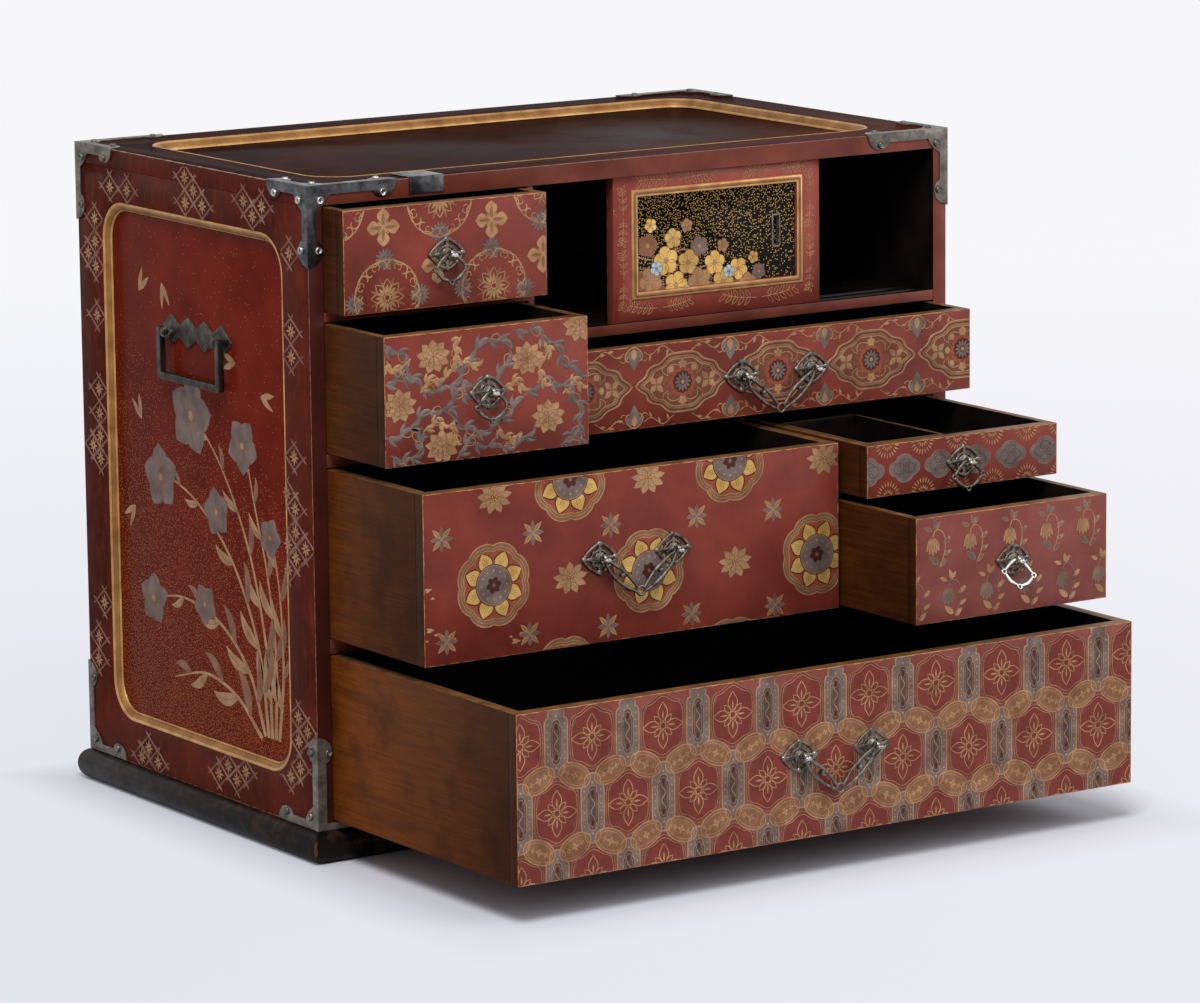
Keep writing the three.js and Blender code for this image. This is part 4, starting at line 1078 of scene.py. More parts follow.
def moved(path, centre, angle=0.0, size=1.0):
    """Turns a 2-D path about nought, scales it and moves it to a place."""
    c, s = math.cos(angle), math.sin(angle)
    return np.asarray(centre) + (np.asarray(path) * size) @ np.array([[c, s], [-s, c]])


def around(count, turn=0.0):
    """Evenly spread angles."""
    return turn + 2 * np.pi * np.arange(count) / count


def oval(half_width, half_height, steps=28):
    """Ellipse about nought."""
    angle = around(steps)
    return np.stack([half_width * np.cos(angle), half_height * np.sin(angle)], 1)


def lobed(radius, count, depth, steps=8, turn=0.0):
    """Circle with round lobes: the radius falls by depth, as a share, between the lobes."""
    angle = around(count * steps, turn)
    wave = np.abs(np.cos((angle - turn) * count / 2))
    reach = radius * (1 - depth * (1 - wave ** 0.7))
    return np.stack([reach * np.cos(angle), reach * np.sin(angle)], 1)


def leaf_shape(length, width, lean=0.8, steps=8):
    """Leaf from nought along x: half its width is the sine of pi times a power of the way
    along, and the power, lean, sets where it is widest."""
    t = np.linspace(0, 1, steps)
    upper = np.stack([length * t, width / 2 * np.sin(np.pi * t ** lean)], 1)
    return np.concatenate([upper, (upper * [1, -1])[-2:0:-1]])


def curl(begin, heading, length, turn, steps=22, tightening=2.0):
    """Tendril: a path whose heading changes ever faster, by turn radians over its length."""
    t = np.linspace(0, 1, steps)
    angle = heading + turn * t ** tightening
    way = np.cumsum(np.stack([np.cos(angle), np.sin(angle)], 1) * length / (steps - 1), 0)
    return np.asarray(begin) + np.concatenate([[[0, 0]], way[:-1]])


# Motifs: d is the Decoration that they are drawn on

def bloom(d, centre, count, inner, outer, width, paint, turn=0.0, outline=None, lean=0.8,
          level=OVER, thick=0.55):
    """Ring of petals from an inner to an outer radius, filled, outlined or both."""
    petal = leaf_shape(outer - inner, width, lean) + [inner, 0]
    rows = [(paint, 0, level)] if paint else []
    rows += [(outline, thick, level + BLOOM_EDGE)] if outline else []
    for angle in around(count, turn):
        d.layers(petal, centre, angle, *rows)


def dot(d, centre, radius, paint, level=LINE):
    """Small round spot."""
    d.field(paint, moved(oval(radius, radius, 10), centre), level)


def heading_at(path, k):
    """Angle of a path's direction at its point k."""
    x, y = path[k + 1] - path[k]
    return math.atan2(y, x)


def sprig(d, foot, heading, length, bend, leaves=4):
    """Finely drawn twig with open leaves to either side."""
    stem = curl(foot, heading, length, bend, 12)
    d.line("gold", stem, 0.4)
    for k in range(1, leaves + 1):
        at = min(int(k * 11 / leaves), 10)
        for side in (-1, 1):
            leaf = leaf_shape(length * 0.24, length * 0.09)
            leaf = moved(leaf, stem[at], heading_at(stem, at) + side * 0.9)
            d.line("gold", leaf, 0.38, closed=True)


LATTICE_PITCH = 47.55
CARTOUCHE_QUARTER = np.array([
    (8.6, 0), (8.6, 5.5), (8.5, 10.5), (7.3, 12.6), (5.6, 13.2), (6.1, 15.4), (4.2, 17.8),
])


def cartouche(d, centre):
    """Upright silver plaque with lobed ends, dotted with gold, round a red panel."""
    q = CARTOUCHE_QUARTER
    upper = np.concatenate([q, [(0, 18.8)], (q * [-1, 1])[::-1]])
    outline = spline(np.concatenate([upper, (upper * [1, -1])[-2:0:-1]]), 3, closed=True)
    d.layers(outline * [0.88, 1.06], centre, 0, ("silver", 0, FIELD), ("gold", 0.9, LINE),
             ("smoke", 0, OVER, 0.5, 0.64), ("gold", 0.5, LINE, 0.5, 0.64),
             ("rose", 0.45, LINE, 0.34, 0.5504))
    wave = np.linspace(-1, 1, 17)
    d.line("gold", np.asarray(centre) + np.stack([1.3 * np.sin(wave * 5), wave * 7], 1), 0.6)
    for side in (-1, 1):
        d.field("dark_red", moved(oval(0.8, 1.7, 10), (centre[0], centre[1] + side * 8.6)), LINE)
    for side in (-1, 1):
        for rise in np.linspace(-10, 10, 6):
            dot(d, (centre[0] + side * 5.6, centre[1] + rise), 0.55, "gold")
        dot(d, (centre[0], centre[1] + side * 14.6), 0.8, "gold")


def link(d, centre, tilt):
    """Oval link of brown gold with a double outline and three small flowers."""
    d.layers(oval(1, 1), centre, tilt, ("brown_gold", 0, OVER, 11.0, 6.9),
             ("gold", 0.8, LINE, 11.0, 6.9), ("gold", 0.45, LINE, 9.2, 5.2))
    for shift, size in ((-4.7, 0.65), (0, 0.95), (4.7, 0.65)):
        at = moved([[shift, 0]], centre, tilt)[0]
        bloom(d, at, 4, 0.2, 2.8 * size, 1.6 * size, "gold", tilt, level=LINE)


def lattice_flower(d, centre):
    """Open four-petalled flower: drawn petals, four small ones between them, and a centre."""
    bloom(d, centre, 4, 2.4, 13.4, 6.4, None, 0, "gold", 0.85, thick=0.65)
    bloom(d, centre, 4, 3.4, 8.6, 1.1, "gold", 0)
    bloom(d, centre, 4, 2.2, 8.4, 3.0, None, math.pi / 4, "gold", 0.9, thick=0.55)
    d.line("gold", moved(oval(2.0, 2.0, 12), centre), 0.7, closed=True)


def draw_bottom(d):
    """Lattice of hexagons: plaques upright between the cells and oval links at the ends."""
    half = LATTICE_PITCH / 2
    first = 36.4
    cell = [(14.0, -10.5), (14.0, 10.5), (7.5, 14.6), (0, 18.4), (-7.5, 14.6), (-14.0, 10.5),
            (-14.0, -10.5), (-7.5, -14.6), (0, -18.4), (7.5, -14.6)]
    edge = spline(cell, 4, closed=True)
    for left, middle in ((first, 84.0), (first - half, 43.5), (first, 3.0)):
        for k in range(-1, 10):
            flower = (left + half + LATTICE_PITCH * k, middle)
            d.field("crimson", moved(cell, flower), GROUND)
            d.layers(edge, flower, 0, ("rose", 0.45, LINE), ("gold", 0.4, LINE, 0.91))
            lattice_flower(d, flower)
            for sx in (-1, 1):
                for sz in (-1, 1):
                    for step in (0, 1):
                        corner = (flower[0] + sx * (13.2 - 2.4 * step),
                                  flower[1] + sz * (9.0 + 2.6 * step))
                        heading = math.atan2(-sz, sx) + 0.5 * step
                        d.line("silver", curl(corner, heading, 4.6, 0.9 * sx, 6), 0.4)
            cartouche(d, (left + LATTICE_PITCH * k, middle))
    for height, way in ((63.5, -1), (23.0, 1)):
        for k in range(-1, 20):
            sign = way if k % 2 else -way
            link(d, (first - 0.5 * half + half * k, height), sign * math.radians(24))


ROUNDELS = [(56.7, 155), (162.5, 151), (281, 147), (109, 210), (219.5, 209), (105, 95), (221, 92)]
LOTUSES = [(58, 205), (162.5, 205), (286, 203), (108.5, 153), (223, 149)]
STARS = [
    (22.5, 185), (83.5, 182), (136.5, 180.5), (196, 179), (250, 177),
    (25, 126), (80.5, 124), (134, 122), (192, 122), (251, 120),
]
CHIPS = [(13, 157, 2.0), (16, 152, 1.2), (14, 134, 2.2), (18, 131, 1.3), (12, 128, 1.0),
         (71, 121, 2.4), (75, 125, 1.2), (68, 124, 1.0), (30, 127, 1.4)]


def roundel(d, centre):
    """Lobed roundel: a brown-gold band, an orange field, eight broad golden petals with dark
    edges and a silver disc with a dark rosette."""
    d.layers(lobed(24.6, 8, 0.08, 10, math.pi / 8), centre, 0,
             ("brown_gold", 0, FIELD), ("gold", 0.8, LINE), ("gold", 0.5, LINE, 0.91),
             ("vermilion", 0, OVER, 0.84), ("gold", 0.7, LINE, 0.84))
    petal = leaf_shape(11.6, 9.2, 0.86, 10) + [8.6, 0]
    for angle in around(8, math.pi / 8):
        d.layers(petal, centre, angle, ("dark_red", 0, LINE, 1.03, 1.16), ("pale_gold", 0, UPPER))
        for lean in (-1, 0, 1):
            vein = np.linspace([12.6, 0.9 * lean], [17.0 - abs(lean), 1.5 * lean], 4)
            d.line("brown_gold", moved(vein, centre, angle), 0.3, level=VEIN)
    d.layers(oval(1, 1), centre, 0, ("dark_red", 0, VEIN, 12.2), ("silver", 0, DISC, 11.5),
             ("gold", 0.5, RELIEF, 11.5))
    bloom(d, centre, 6, 0.6, 5.2, 3.4, "dark_red", 0.2, level=RELIEF, lean=1.2)
    dot(d, centre, 1.0, "silver", CROWN)
    for angle in around(12):
        dot(d, moved([[8.4, 0]], centre, angle)[0], 0.65, "gold", RELIEF)


def side_petals(d, centre, count, inner, outer, width, turn, squash, level, edge_level, thick,
                size=1.0):
    """Ring of pointed gold petals with drawn edges, flattened as if seen from the side."""
    for angle in around(count, turn):
        petal = moved(leaf_shape(outer - inner, width, 0.9) + [inner, 0], (0, 0), angle, size)
        petal = petal * [1.0, squash] + centre
        d.field("gold", petal, level)
        d.line("brown_gold", petal, thick, closed=True, level=edge_level)


def lotus(d, centre, size=1.05):
    """Many-petalled flower: two rings of petals round a seed head with five seeds."""
    for ring in ((9, 3, 11.4, 4.8, 0.2), (8, 1.5, 7.4, 3.4, 0.5)):
        side_petals(d, centre, *ring, 0.8, OVER, LINE, 0.3, size)
    d.field("brown_gold", moved(oval(2.4, 1.8), centre, 0, size), LINE)
    for angle in around(5, 0.3):
        dot(d, moved([[1.3 * size, 0]], centre, angle)[0], 0.4, "pale_gold", UPPER)


def star_flower(d, centre):
    """Small flower of eight petals, gold on the diagonals and silver between."""
    bloom(d, centre, 4, 0.8, 8.6, 3.0, "gold", math.pi / 4)
    bloom(d, centre, 4, 0.8, 7.4, 2.6, "silver", 0, "rose", level=LINE, thick=0.3)
    bloom(d, centre, 4, 2.0, 7.6, 0.5, "brown_gold", math.pi / 4, level=LINE)
    dot(d, centre, 1.0, "gold", UPPER)


def chip(d, centre, size):
    """Chip in the lacquer: a small ragged spot, its radius a sum of two waves."""
    angle = around(14, centre[0])
    reach = size * (1 + 0.3 * np.sin(3 * angle + centre[0]) + 0.25 * np.sin(5 * angle + centre[1]))
    d.field("ground", centre + np.stack([reach * np.cos(angle), 0.6 * reach * np.sin(angle)], 1))


def draw_tall(d):
    """Roundels, lotuses and small flowers, spread in rows, and chips near the left edge."""
    for at in STARS:
        star_flower(d, at)
    for at in LOTUSES:
        lotus(d, at)
    for at in ROUNDELS:
        roundel(d, at)
    for u, v, size in CHIPS:
        chip(d, np.array([u, v]), size)


# Levels of a medallion's rosette: its two lobed fields, its petals and its heart
ROSETTE_LEVELS = (0.15, 0.20, 0.26, 0.32)


def medallion(d, centre):
    """Pointed oval medallion: nested outlines round a lighter field, with a dark rosette
    between two gold florets, and scrolls above and below. Its outline's radius comes from
    the sum of powers of cosine and sine, with ten small waves."""
    angle = around(60)
    c, s = np.cos(angle), np.sin(angle)
    power = 1.42
    reach = (np.abs(c) ** power + np.abs(s) ** power) ** (-1 / power)
    outline = np.stack([31.5 * reach * c, 18.5 * reach * s], 1)
    outline *= (1 + 0.045 * np.cos(10 * angle))[:, None]
    d.layers(outline, centre, 0, ("brown_gold", 0, FIELD), ("gold", 0.9, LINE),
             ("dark_red", 0.6, LINE, 0.94, 0.92), ("rose", 0.5, LINE, 0.895, 0.865),
             ("gold", 0.7, LINE, 0.83, 0.79), ("umber", 0, OVER, 0.82, 0.78))
    outer, inner, petals, heart = ROSETTE_LEVELS
    d.field("vermilion", moved(lobed(9.4, 8, 0.16, 5), centre), outer)
    d.field("dark_red", moved(lobed(6.8, 12, 0.12, 4), centre), inner)
    bloom(d, centre, 12, 1.6, 6.2, 1.6, "silver", 0, level=petals)
    dot(d, centre, 1.3, "gold", heart)
    bloom(d, centre, 8, 9.0, 13.6, 4.6, "gold", 0, "brown_gold", 1.1, thick=0.4)
    for side in (-1, 1):
        at = (centre[0] + side * 18.5, centre[1])
        bloom(d, at, 4, 0.4, 6.8, 3.6, "gold", math.pi / 4, level=LINE)
        bloom(d, at, 4, 0.4, 4.4, 1.4, "brown_gold", 0, level=UPPER)
        for way in (-1, 1):
            begin = (centre[0] + way * 1.5, centre[1] + side * 9.6)
            heading = math.atan2(side * 0.35, way)
            d.line("gold", curl(begin, heading, 13, -2.8 * side * way, 16), 0.7)
            begin = (centre[0] + way * 10, centre[1] + side * 4.5)
            d.line("gold", curl(begin, heading, 8, 2.6 * side * way, 12), 0.55)
        bloom(d, (centre[0], centre[1] + side * 10.8), 5, 0.3, 3.3, 2.2, "gold",
              side * math.pi / 2, level=UPPER)


def finial(d, foot, up):
    """Silver bud between gold scrolls, standing on or hanging from an edge."""
    upright = up * math.pi / 2
    for size, paint, level in ((1.0, "silver", OVER), (0.55, "gold", LINE)):
        bud = leaf_shape(13 * size, 7.5 * size, 0.75, 10)
        d.field(paint, moved(bud + [2, 0], foot, upright), level)
    for way in (-1, 1):
        begin = (foot[0], foot[1] + up)
        d.line("gold", curl(begin, upright - up * way * 1.2, 13, up * way * 2.9, 16), 0.8)
        petal = leaf_shape(7, 3.4)
        d.field("silver", moved(petal, (foot[0] + way * 2, foot[1] + up * 3),
                                upright - up * way * 0.75), OVER)
        begin = (foot[0] + way * 4, foot[1] + up * 6)
        d.line("gold", curl(begin, upright - up * way * 0.4, 8, -up * way * 3.0, 12), 0.6)


def draw_middle_right(d):
    """Row of medallions with finials between them and wavy tendrils along the edges."""
    pitch = 68.5
    for k in range(-1, 6):
        at = (162.0 + pitch * k, 246.0)
        between = at[0] + pitch / 2
        for edge, up in ((270.5, -1), (220.5, 1)):
            finial(d, (between, edge), up)
            for way in (-1, 1):
                x = np.linspace(0, 1, 18)
                rise = edge + up * (4.2 + 2.2 * np.sin(7.5 * x))
                wave = np.stack([between + way * (7 + 21 * x), rise], 1)
                d.line("gold", wave, 0.6)
                for t in (4, 9, 14):
                    leaf = moved(leaf_shape(4.2, 1.6), wave[t], up * (0.9 + way))
                    d.field("gold", leaf, OVER)
        medallion(d, at)


RINGS = [(39, 311), (111, 311.5), (75, 365), (147, 367), (3, 366)]
SILVER_ASTERS = [(38, 333), (110, 333.5), (75, 345.5), (143, 347), (17, 309), (61, 311),
                 (90, 312), (132, 308.5)]
GOLD_CROSSES = [(37, 351.5), (110, 350), (73, 327), (145, 327)]


def draw_top_left(d):
    """Scrolls in circles round double flowers, with silver and gold flowers between."""
    for u, v in RINGS:
        for angle in around(8, math.pi / 8):
            begin = moved([[21.5, 0]], (u, v), angle)[0]
            for way in (-1, 1):
                d.line("gold", curl(begin, angle + way * 1.5, 13, way * 3.9, 20), 0.85)
                d.line("gold", curl(begin, angle + way * 2.1, 6.5, way * 3.4, 12), 0.6)
        d.line("gold", moved(lobed(22, 8, 0.10, 6), (u, v)), 0.75, closed=True)
        bloom(d, (u, v), 8, 1.6, 11, 5.2, None, 0, "gold", 0.9, thick=0.7)
        bloom(d, (u, v), 8, 2.5, 8, 1.8, "gold", 0)
        bloom(d, (u, v), 8, 1.6, 13, 2.0, "brown_gold", math.pi / 8, level=FIELD)
        d.line("gold", moved(oval(1.7, 1.7, 12), (u, v)), 0.6, closed=True)
    for at in SILVER_ASTERS:
        bloom(d, at, 14, 1.6, 6.8, 1.7, "silver", 0)
        dot(d, at, 1.5, "silver")
    for at in GOLD_CROSSES:
        bloom(d, at, 4, 0.8, 11.0, 8.4, "gold", 0, lean=1.3)
        bloom(d, at, 4, 1.0, 8.6, 2.2, "brown_gold", 0, level=LINE)
        bloom(d, at, 4, 0.6, 5.4, 1.4, "gold", math.pi / 4, level=LINE)
        dot(d, at, 1.4, "gold", UPPER)


POINTED_FLOWERS = [(43, 282), (106, 275), (142, 291), (20, 256), (48, 230), (120, 240)]
SILVER_VINES = [
    [(10, 292), (22, 284), (30, 270), (46, 262), (60, 268), (70, 282), (84, 288), (96, 282)],
    [(10, 238), (24, 240), (34, 248), (50, 250), (62, 240), (78, 236), (92, 244), (104, 254)],
    [(58, 222), (66, 230), (82, 226), (98, 226), (108, 232)],
    [(96, 292), (112, 290), (126, 280), (134, 268), (146, 262)],
    [(104, 254), (118, 260), (132, 256), (140, 246), (142, 234), (134, 224)],
    [(10, 268), (20, 272), (30, 270)],
    [(60, 268), (74, 262), (88, 268), (94, 278)],
    [(14, 228), (24, 224), (34, 230), (30, 240)],
    [(50, 250), (58, 258), (72, 256), (84, 250)],
    [(128, 222), (138, 226), (148, 222)],
]
GOLD_VINES = [
    [(36, 240), (44, 244), (54, 240), (60, 230)],
    [(62, 292), (58, 284), (64, 276), (76, 276)],
    [(86, 238), (92, 230), (102, 232)],
    [(116, 288), (120, 278), (114, 266), (122, 258)],
    [(34, 262), (40, 268), (52, 270), (58, 280)],
    [(90, 260), (98, 262), (108, 256)],
    [(12, 282), (18, 276), (28, 282)],
    [(130, 252), (138, 258), (148, 254)],
]


def vine(d, chosen, paint, leaf_length=11.5, spacing=5):
    """Stem through chosen places with curling leaves to either side by turns."""
    path = spline(chosen, 9)
    d.line(paint, path, 1.0)
    for count, k in enumerate(range(2, len(path) - 2, spacing)):
        side = 1 if count % 2 else -1
        for lean, size, bend in ((0.5, 1.0, -2.2), (1.2, 0.7, -1.0), (0.1, 0.5, 1.6)):
            heading = heading_at(path, k) + side * lean
            body = curl(path[k], heading, leaf_length * size, side * bend, 9, 1.6)
            d.line(paint, body, 2.3 * np.sin(np.linspace(0.5, np.pi, 9)) + 0.25)
        if count % 3 == 1:
            tendril = curl(path[k], heading_at(path, k) - side * 0.8, leaf_length, side * 4.2, 16)
            d.line("gold", tendril, 0.6)


def pointed_flower(d, centre):
    """Gold flower of pointed petals with drawn edges, broader than it is high."""
    for count, inner, outer, width, turn, level in (
            (9, 2.5, 11.6, 6.0, 0.2, OVER), (8, 1.0, 7.8, 4.6, 0.5, LINE),
            (6, 0.4, 4.6, 3.0, 0.1, UPPER)):
        side_petals(d, centre, count, inner, outer, width, turn, 0.86, level,
                    level + PETAL_EDGE, 0.4)


def draw_middle_left(d):
    """Leafy scrolls of silver and gold with gold flowers."""
    for chosen in SILVER_VINES:
        vine(d, chosen, "silver")
    for chosen in GOLD_VINES:
        vine(d, chosen, "gold", 9.0, 5)
    for at in POINTED_FLOWERS:
        pointed_flower(d, at)


def draw_tray(d):
    """Row of silver quatrefoils, and half rosettes of gold rays along both edges."""
    for k in range(6):
        centre = (303.0 + 26.0 * k, 196.0)
        d.layers(lobed(1.0, 4, 0.26, 9) * [11.4, 8.4], centre, 0, ("silver", 0, FIELD),
                 ("rose", 0.45, LINE), ("smoke", 0.35, LINE, 0.66))
        bloom(d, centre, 4, 0.8, 5.0, 2.0, None, math.pi / 4, "smoke", thick=0.35)
    for edge, up, first in ((211.5, -1, 316.5), (180.5, 1, 317.0)):
        for k in range(6):
            centre = (first + 25.6 * k, edge)
            for inner, outer, count in ((1.8, 4.4, 7), (5.4, 9.0, 11)):
                for angle in np.linspace(0.15, math.pi - 0.15, count):
                    ray = leaf_shape(outer - inner, 0.85) + [inner, 0]
                    d.field("gold", moved(ray, centre, up * angle), OVER)


# Stem of a bellflower sprig, and place, angle and length of its leaves, from the bell
SPRIG_STEM = np.array([(5, -13), (8, -6), (9, 2), (6.5, 8), (2, 9), (0, 5)])
SPRIG_LEAVES = [
    (3, 9.5, 1.9, 6.5), (-1, 9.0, 2.7, 5.5), (8, 1, 0.6, 6), (8.4, -6, 0.5, 5.5),
    (4, -11, 2.5, 8.5), (5, -12.5, 0.7, 6.5), (2.5, 10, 0.9, 5),
]


def bellflower(d, bell, paint, stem, leafing):
    """Sprig of a drooping bell on a stem that loops over, with buds and leaves."""
    d.line(stem, spline(SPRIG_STEM + bell, 7), 0.7)
    foot = (bell[0], bell[1] + 4.8)
    for way in (-2, -1, 1, 2, 0):
        d.layers(leaf_shape(11.5 - abs(way), 4.0, 0.7), foot, -math.pi / 2 + 0.27 * way,
                 (paint, 0, OVER), ("brown_gold", 0.3, LINE))
    for du, dv, angle, size in SPRIG_LEAVES:
        d.layers(leaf_shape(size, size * 0.42), (bell[0] + du, bell[1] + dv), angle,
                 (leafing, 0, OVER), ("gold", 0.3, LINE))
    for dv in (4.0, -4.5):
        dot(d, (bell[0] + 11.5, bell[1] + dv), 0.9, "gold")


def draw_low_right(d):
    """Two rows of bellflower sprigs, the upper one gold and the lower one silver."""
    for x in (314, 341, 370, 397, 424):
        bellflower(d, (x, 158.5), "gold", "gold", "silver")
    for x in (299, 325, 353, 381, 409, 436):
        bellflower(d, (x, 128.0), "silver", "silver", "gold")


BORDER_FLOWERS = [
    (231, 352), (210, 352), (140, 367), (130, 360), (120, 352), (140, 352), (72, 360), (62, 352),
    (51, 359), (21, 335), (21, 290), (21, 275), (20, 217), (29, 195), (20, 187), (20, 173),
    (9, 165), (29, 165), (20, 158), (29, 150), (21, 64), (21, 50), (11, 57), (20, 34), (31, 27),
    (104, 20), (115, 13), (94, 13), (83, 20), (200, 13), (209, 6), (189, 6), (251, 331),
    (251, 317), (260, 309), (251, 302), (251, 272), (251, 227), (251, 212), (251, 198),
    (260, 191), (251, 184), (251, 95), (259, 72), (260, 58),
]
CELL_HALF = np.array([10.2, 7.6])


def draw_border(d):
    """Patches of diamond lattice with a small flower in each cell. Each side of a cell is two
    fine strokes that run on a little past its corners."""
    for at in BORDER_FLOWERS:
        for sx in (-1, 1):
            for sz in (-1, 1):
                for size in (0.93, 1.05):
                    ends = np.array([(-0.28, 1.28), (1.28, -0.28)]) * CELL_HALF * [sx, sz] * size
                    d.line("rose", np.linspace(ends[0], ends[1], 14) + at, 0.42)
        bloom(d, at, 4, 0.5, 5.2, 1.3, "gold", 0)
        bloom(d, at, 4, 0.5, 4.4, 1.2, "gold", math.pi / 4)


GRASSES = [
    [(58, 44), (62, 92), (80, 150), (110, 196), (146, 228)],
    [(62, 44), (72, 96), (100, 142), (140, 172), (182, 186)],
    [(54, 44), (52, 92), (60, 140), (74, 182), (84, 216)],
    [(66, 44), (84, 80), (118, 104), (160, 112), (198, 106)],
    [(50, 44), (44, 84), (46, 128), (54, 166)],
    [(70, 42), (98, 62), (134, 70), (172, 62)],
]
PANEL_BELLS = [
    ((146, 224), 24, 0.5), ((184, 182), 20, 0.2), ((86, 214), 17, 0.9), ((118, 170), 15, 0.1),
    ((196, 106), 16, 0.4), ((56, 164), 12, 0.7), ((134, 112), 13, 1.0),
]
LOOSE_LEAVES = [(92, 262), (206, 214), (206, 292), (64, 246), (178, 300), (216, 160)]
# Levels of the bells' veins and hearts
BELL_VEIN, BELL_HEART = 0.30, 0.36


def draw_panel(d):
    """Autumn grasses that rise from one root, with silver bellflowers and gold leaves."""
    for number, chosen in enumerate(GRASSES):
        path = spline(chosen, 12)
        d.line("gold", path, np.linspace(3.4, 0.9, len(path)))
        for count, k in enumerate(range(6, len(path) - 4, 6)):
            side = 1 if (count + number) % 2 else -1
            length = 32 - 3.2 * count
            blade = curl(path[k], heading_at(path, k) + side * 0.75, length, -side * 0.9, 12, 1.5)
            wide = 8.4 * np.sin(np.linspace(0.3, np.pi, 12)) * length / 32 + 0.4
            d.line("brown_gold" if (count + number) % 2 else "gold", blade, wide)
            d.line("brown_gold", blade[:-2], 0.5, level=UPPER)
    for at, size, turn in PANEL_BELLS:
        bloom(d, at, 5, 0.6, size, size * 0.86, "silver", turn, "brown_gold", 1.1, UPPER, 0.6)
        bloom(d, at, 5, 0.6, size * 0.72, 1.0, "brown_gold", turn, level=BELL_VEIN)
        dot(d, at, size * 0.12, "gold", BELL_HEART)
    for k, at in enumerate(LOOSE_LEAVES):
        for way in (-0.3, 0.3):
            d.field("gold", moved(leaf_shape(16, 4.0, 0.9), at, 1.1 * k + way), OVER)


PLUMS = [
    (231, 300, 6.6, "brown_gold"), (245, 291, 6.4, "brown_gold"), (282, 290, 6.2, "brown_gold"),
    (300, 291, 5.6, "silver"), (236, 321, 7.0, "brown_gold"), (273, 318, 6.2, "silver"),
    (238, 300, 8.4, "gold"), (249, 311, 8.8, "bright_gold"), (256, 296, 8.4, "bright_gold"),
    (265, 309, 7.6, "pale_gold"), (273, 297, 8.4, "gold"), (284, 307, 7.4, "bright_gold"),
    (290, 295, 7.6, "pale_gold"), (301, 302, 6.8, "bright_gold"), (308, 293, 6.4, "gold"),
    (254, 324, 6.2, "pale_gold"), (316, 299, 4.8, "silver"), (242, 307, 4.4, "shell"),
    (264, 291, 4.4, "shell"), (294, 301, 4.0, "shell"), (290, 317, 4.2, "gold"),
    (312, 308, 3.8, "pale_gold"), (264, 331, 4.2, "gold"), (238, 333, 4.4, "bright_gold"),
]
# Level of the first blossom, and how much higher each next one lies
PLUM_LEVEL, PLUM_STEP = 0.20, 0.012


def draw_plums(d):
    """Plum blossoms drifting on the lines of a stream."""
    x = np.linspace(0, 1, 46)
    for k, height in enumerate((290.5, 294.0, 304.0, 314.5)):
        run = np.stack([229 + (98 - 18 * k) * x, height + 2.2 * np.sin(6.5 * x + k)], 1)
        d.line("gold", run, 0.7)
        d.line("gold", run[: len(run) * 2 // 3] + [2, 1.6], 0.45)
    for number, (u, v, size, paint) in enumerate(PLUMS):
        level = PLUM_LEVEL + PLUM_STEP * number
        petal = oval(size * 0.44, size * 0.46, 14) + [size * 0.56, 0]
        for angle in around(5, 0.3 + u):
            d.layers(petal, (u, v), angle, (paint, 0, level),
                     ("brown_gold", 0.35, level + PETAL_EDGE))
        dot(d, (u, v), size * 0.2, "gold", level + 0.1)


def draw_door_frame(d, low, high):
    """Fine gold sprigs on the rails and stiles of a sliding door."""
    left, right, bottom, top = low[0], high[0], low[2], high[2]
    for share, length in ((0.30, 25), (0.78, 20)):
        for way in (-1, 1):
            middle = left + share * (right - left) + way * 2
            sprig(d, (middle, top - 7), math.pi / 2 - way * 1.45, length, -way * 0.25, 5)
            middle = left + (1 - share) * (right - left) + way * 2
            sprig(d, (middle, bottom + 8), math.pi / 2 - way * 1.5, length, way * 0.3, 5)
    for x in (left + 7, right - 7):
        for middle in (top - 26, bottom + 26):
            for way in (-1, 1):
                sprig(d, (x, middle + way), way * math.pi / 2, 16, way * 0.3)


PATTERNS = {
    "bottom_drawer": draw_bottom, "tall_drawer": draw_tall,
    "middle_right_drawer": draw_middle_right, "top_left_drawer": draw_top_left,
    "middle_left_drawer": draw_middle_left, "tray_drawer": draw_tray,
    "low_right_drawer": draw_low_right,
}
PANEL_LOW, PANEL_HIGH = np.array([37, 34]), np.array([234, 336])
# How far the middle of a door's gilt bead is from its lowest and its highest corner
BEAD_INSET = np.array([(14.85, 16.45), (14.85, 12.95)])


def decorate_doors():
    """Sprigs on both doors' frames, a brown line along their beads and blossoms on
    their panels. The rear door's blossoms lie where the front door's do, shifted with it."""
    first_left = case_box("front_sliding_door")[0][0]
    for node in ("front_sliding_door", "rear_sliding_door"):
        low, high = case_box(node)
        front = low[1] + DOOR_BEAD_RISE
        d = Decoration((front * BACK, RIGHT, UP, -BACK), low[[0, 2]] + 0.8, high[[0, 2]] - 0.8)
        draw_door_frame(d, low, high)
        d.pieces(node + "_frame", BODY_OF[node])
        d = Decoration((low[1] * BACK, RIGHT, UP, -BACK), low[[0, 2]], high[[0, 2]])
        bead = rounded_path(low[[0, 2]] + BEAD_INSET[0], high[[0, 2]] - BEAD_INSET[1], 1.0, 3)[0]
        d.line("brown_gold", bead, 1.8, closed=True)
        d.pieces(node + "_bead", BODY_OF[node])
        shift = np.array([low[0] - first_left, 0])
        origin = shift[0] * RIGHT + (front + DOOR_PANEL_SINK) * BACK
        inset = DOOR_STILE - 1
        d = Decoration((origin, RIGHT, UP, -BACK), low[[0, 2]] + inset - shift,
                       high[[0, 2]] - inset - shift)
        draw_plums(d)
        d.pieces(node + "_blossoms", BODY_OF[node])


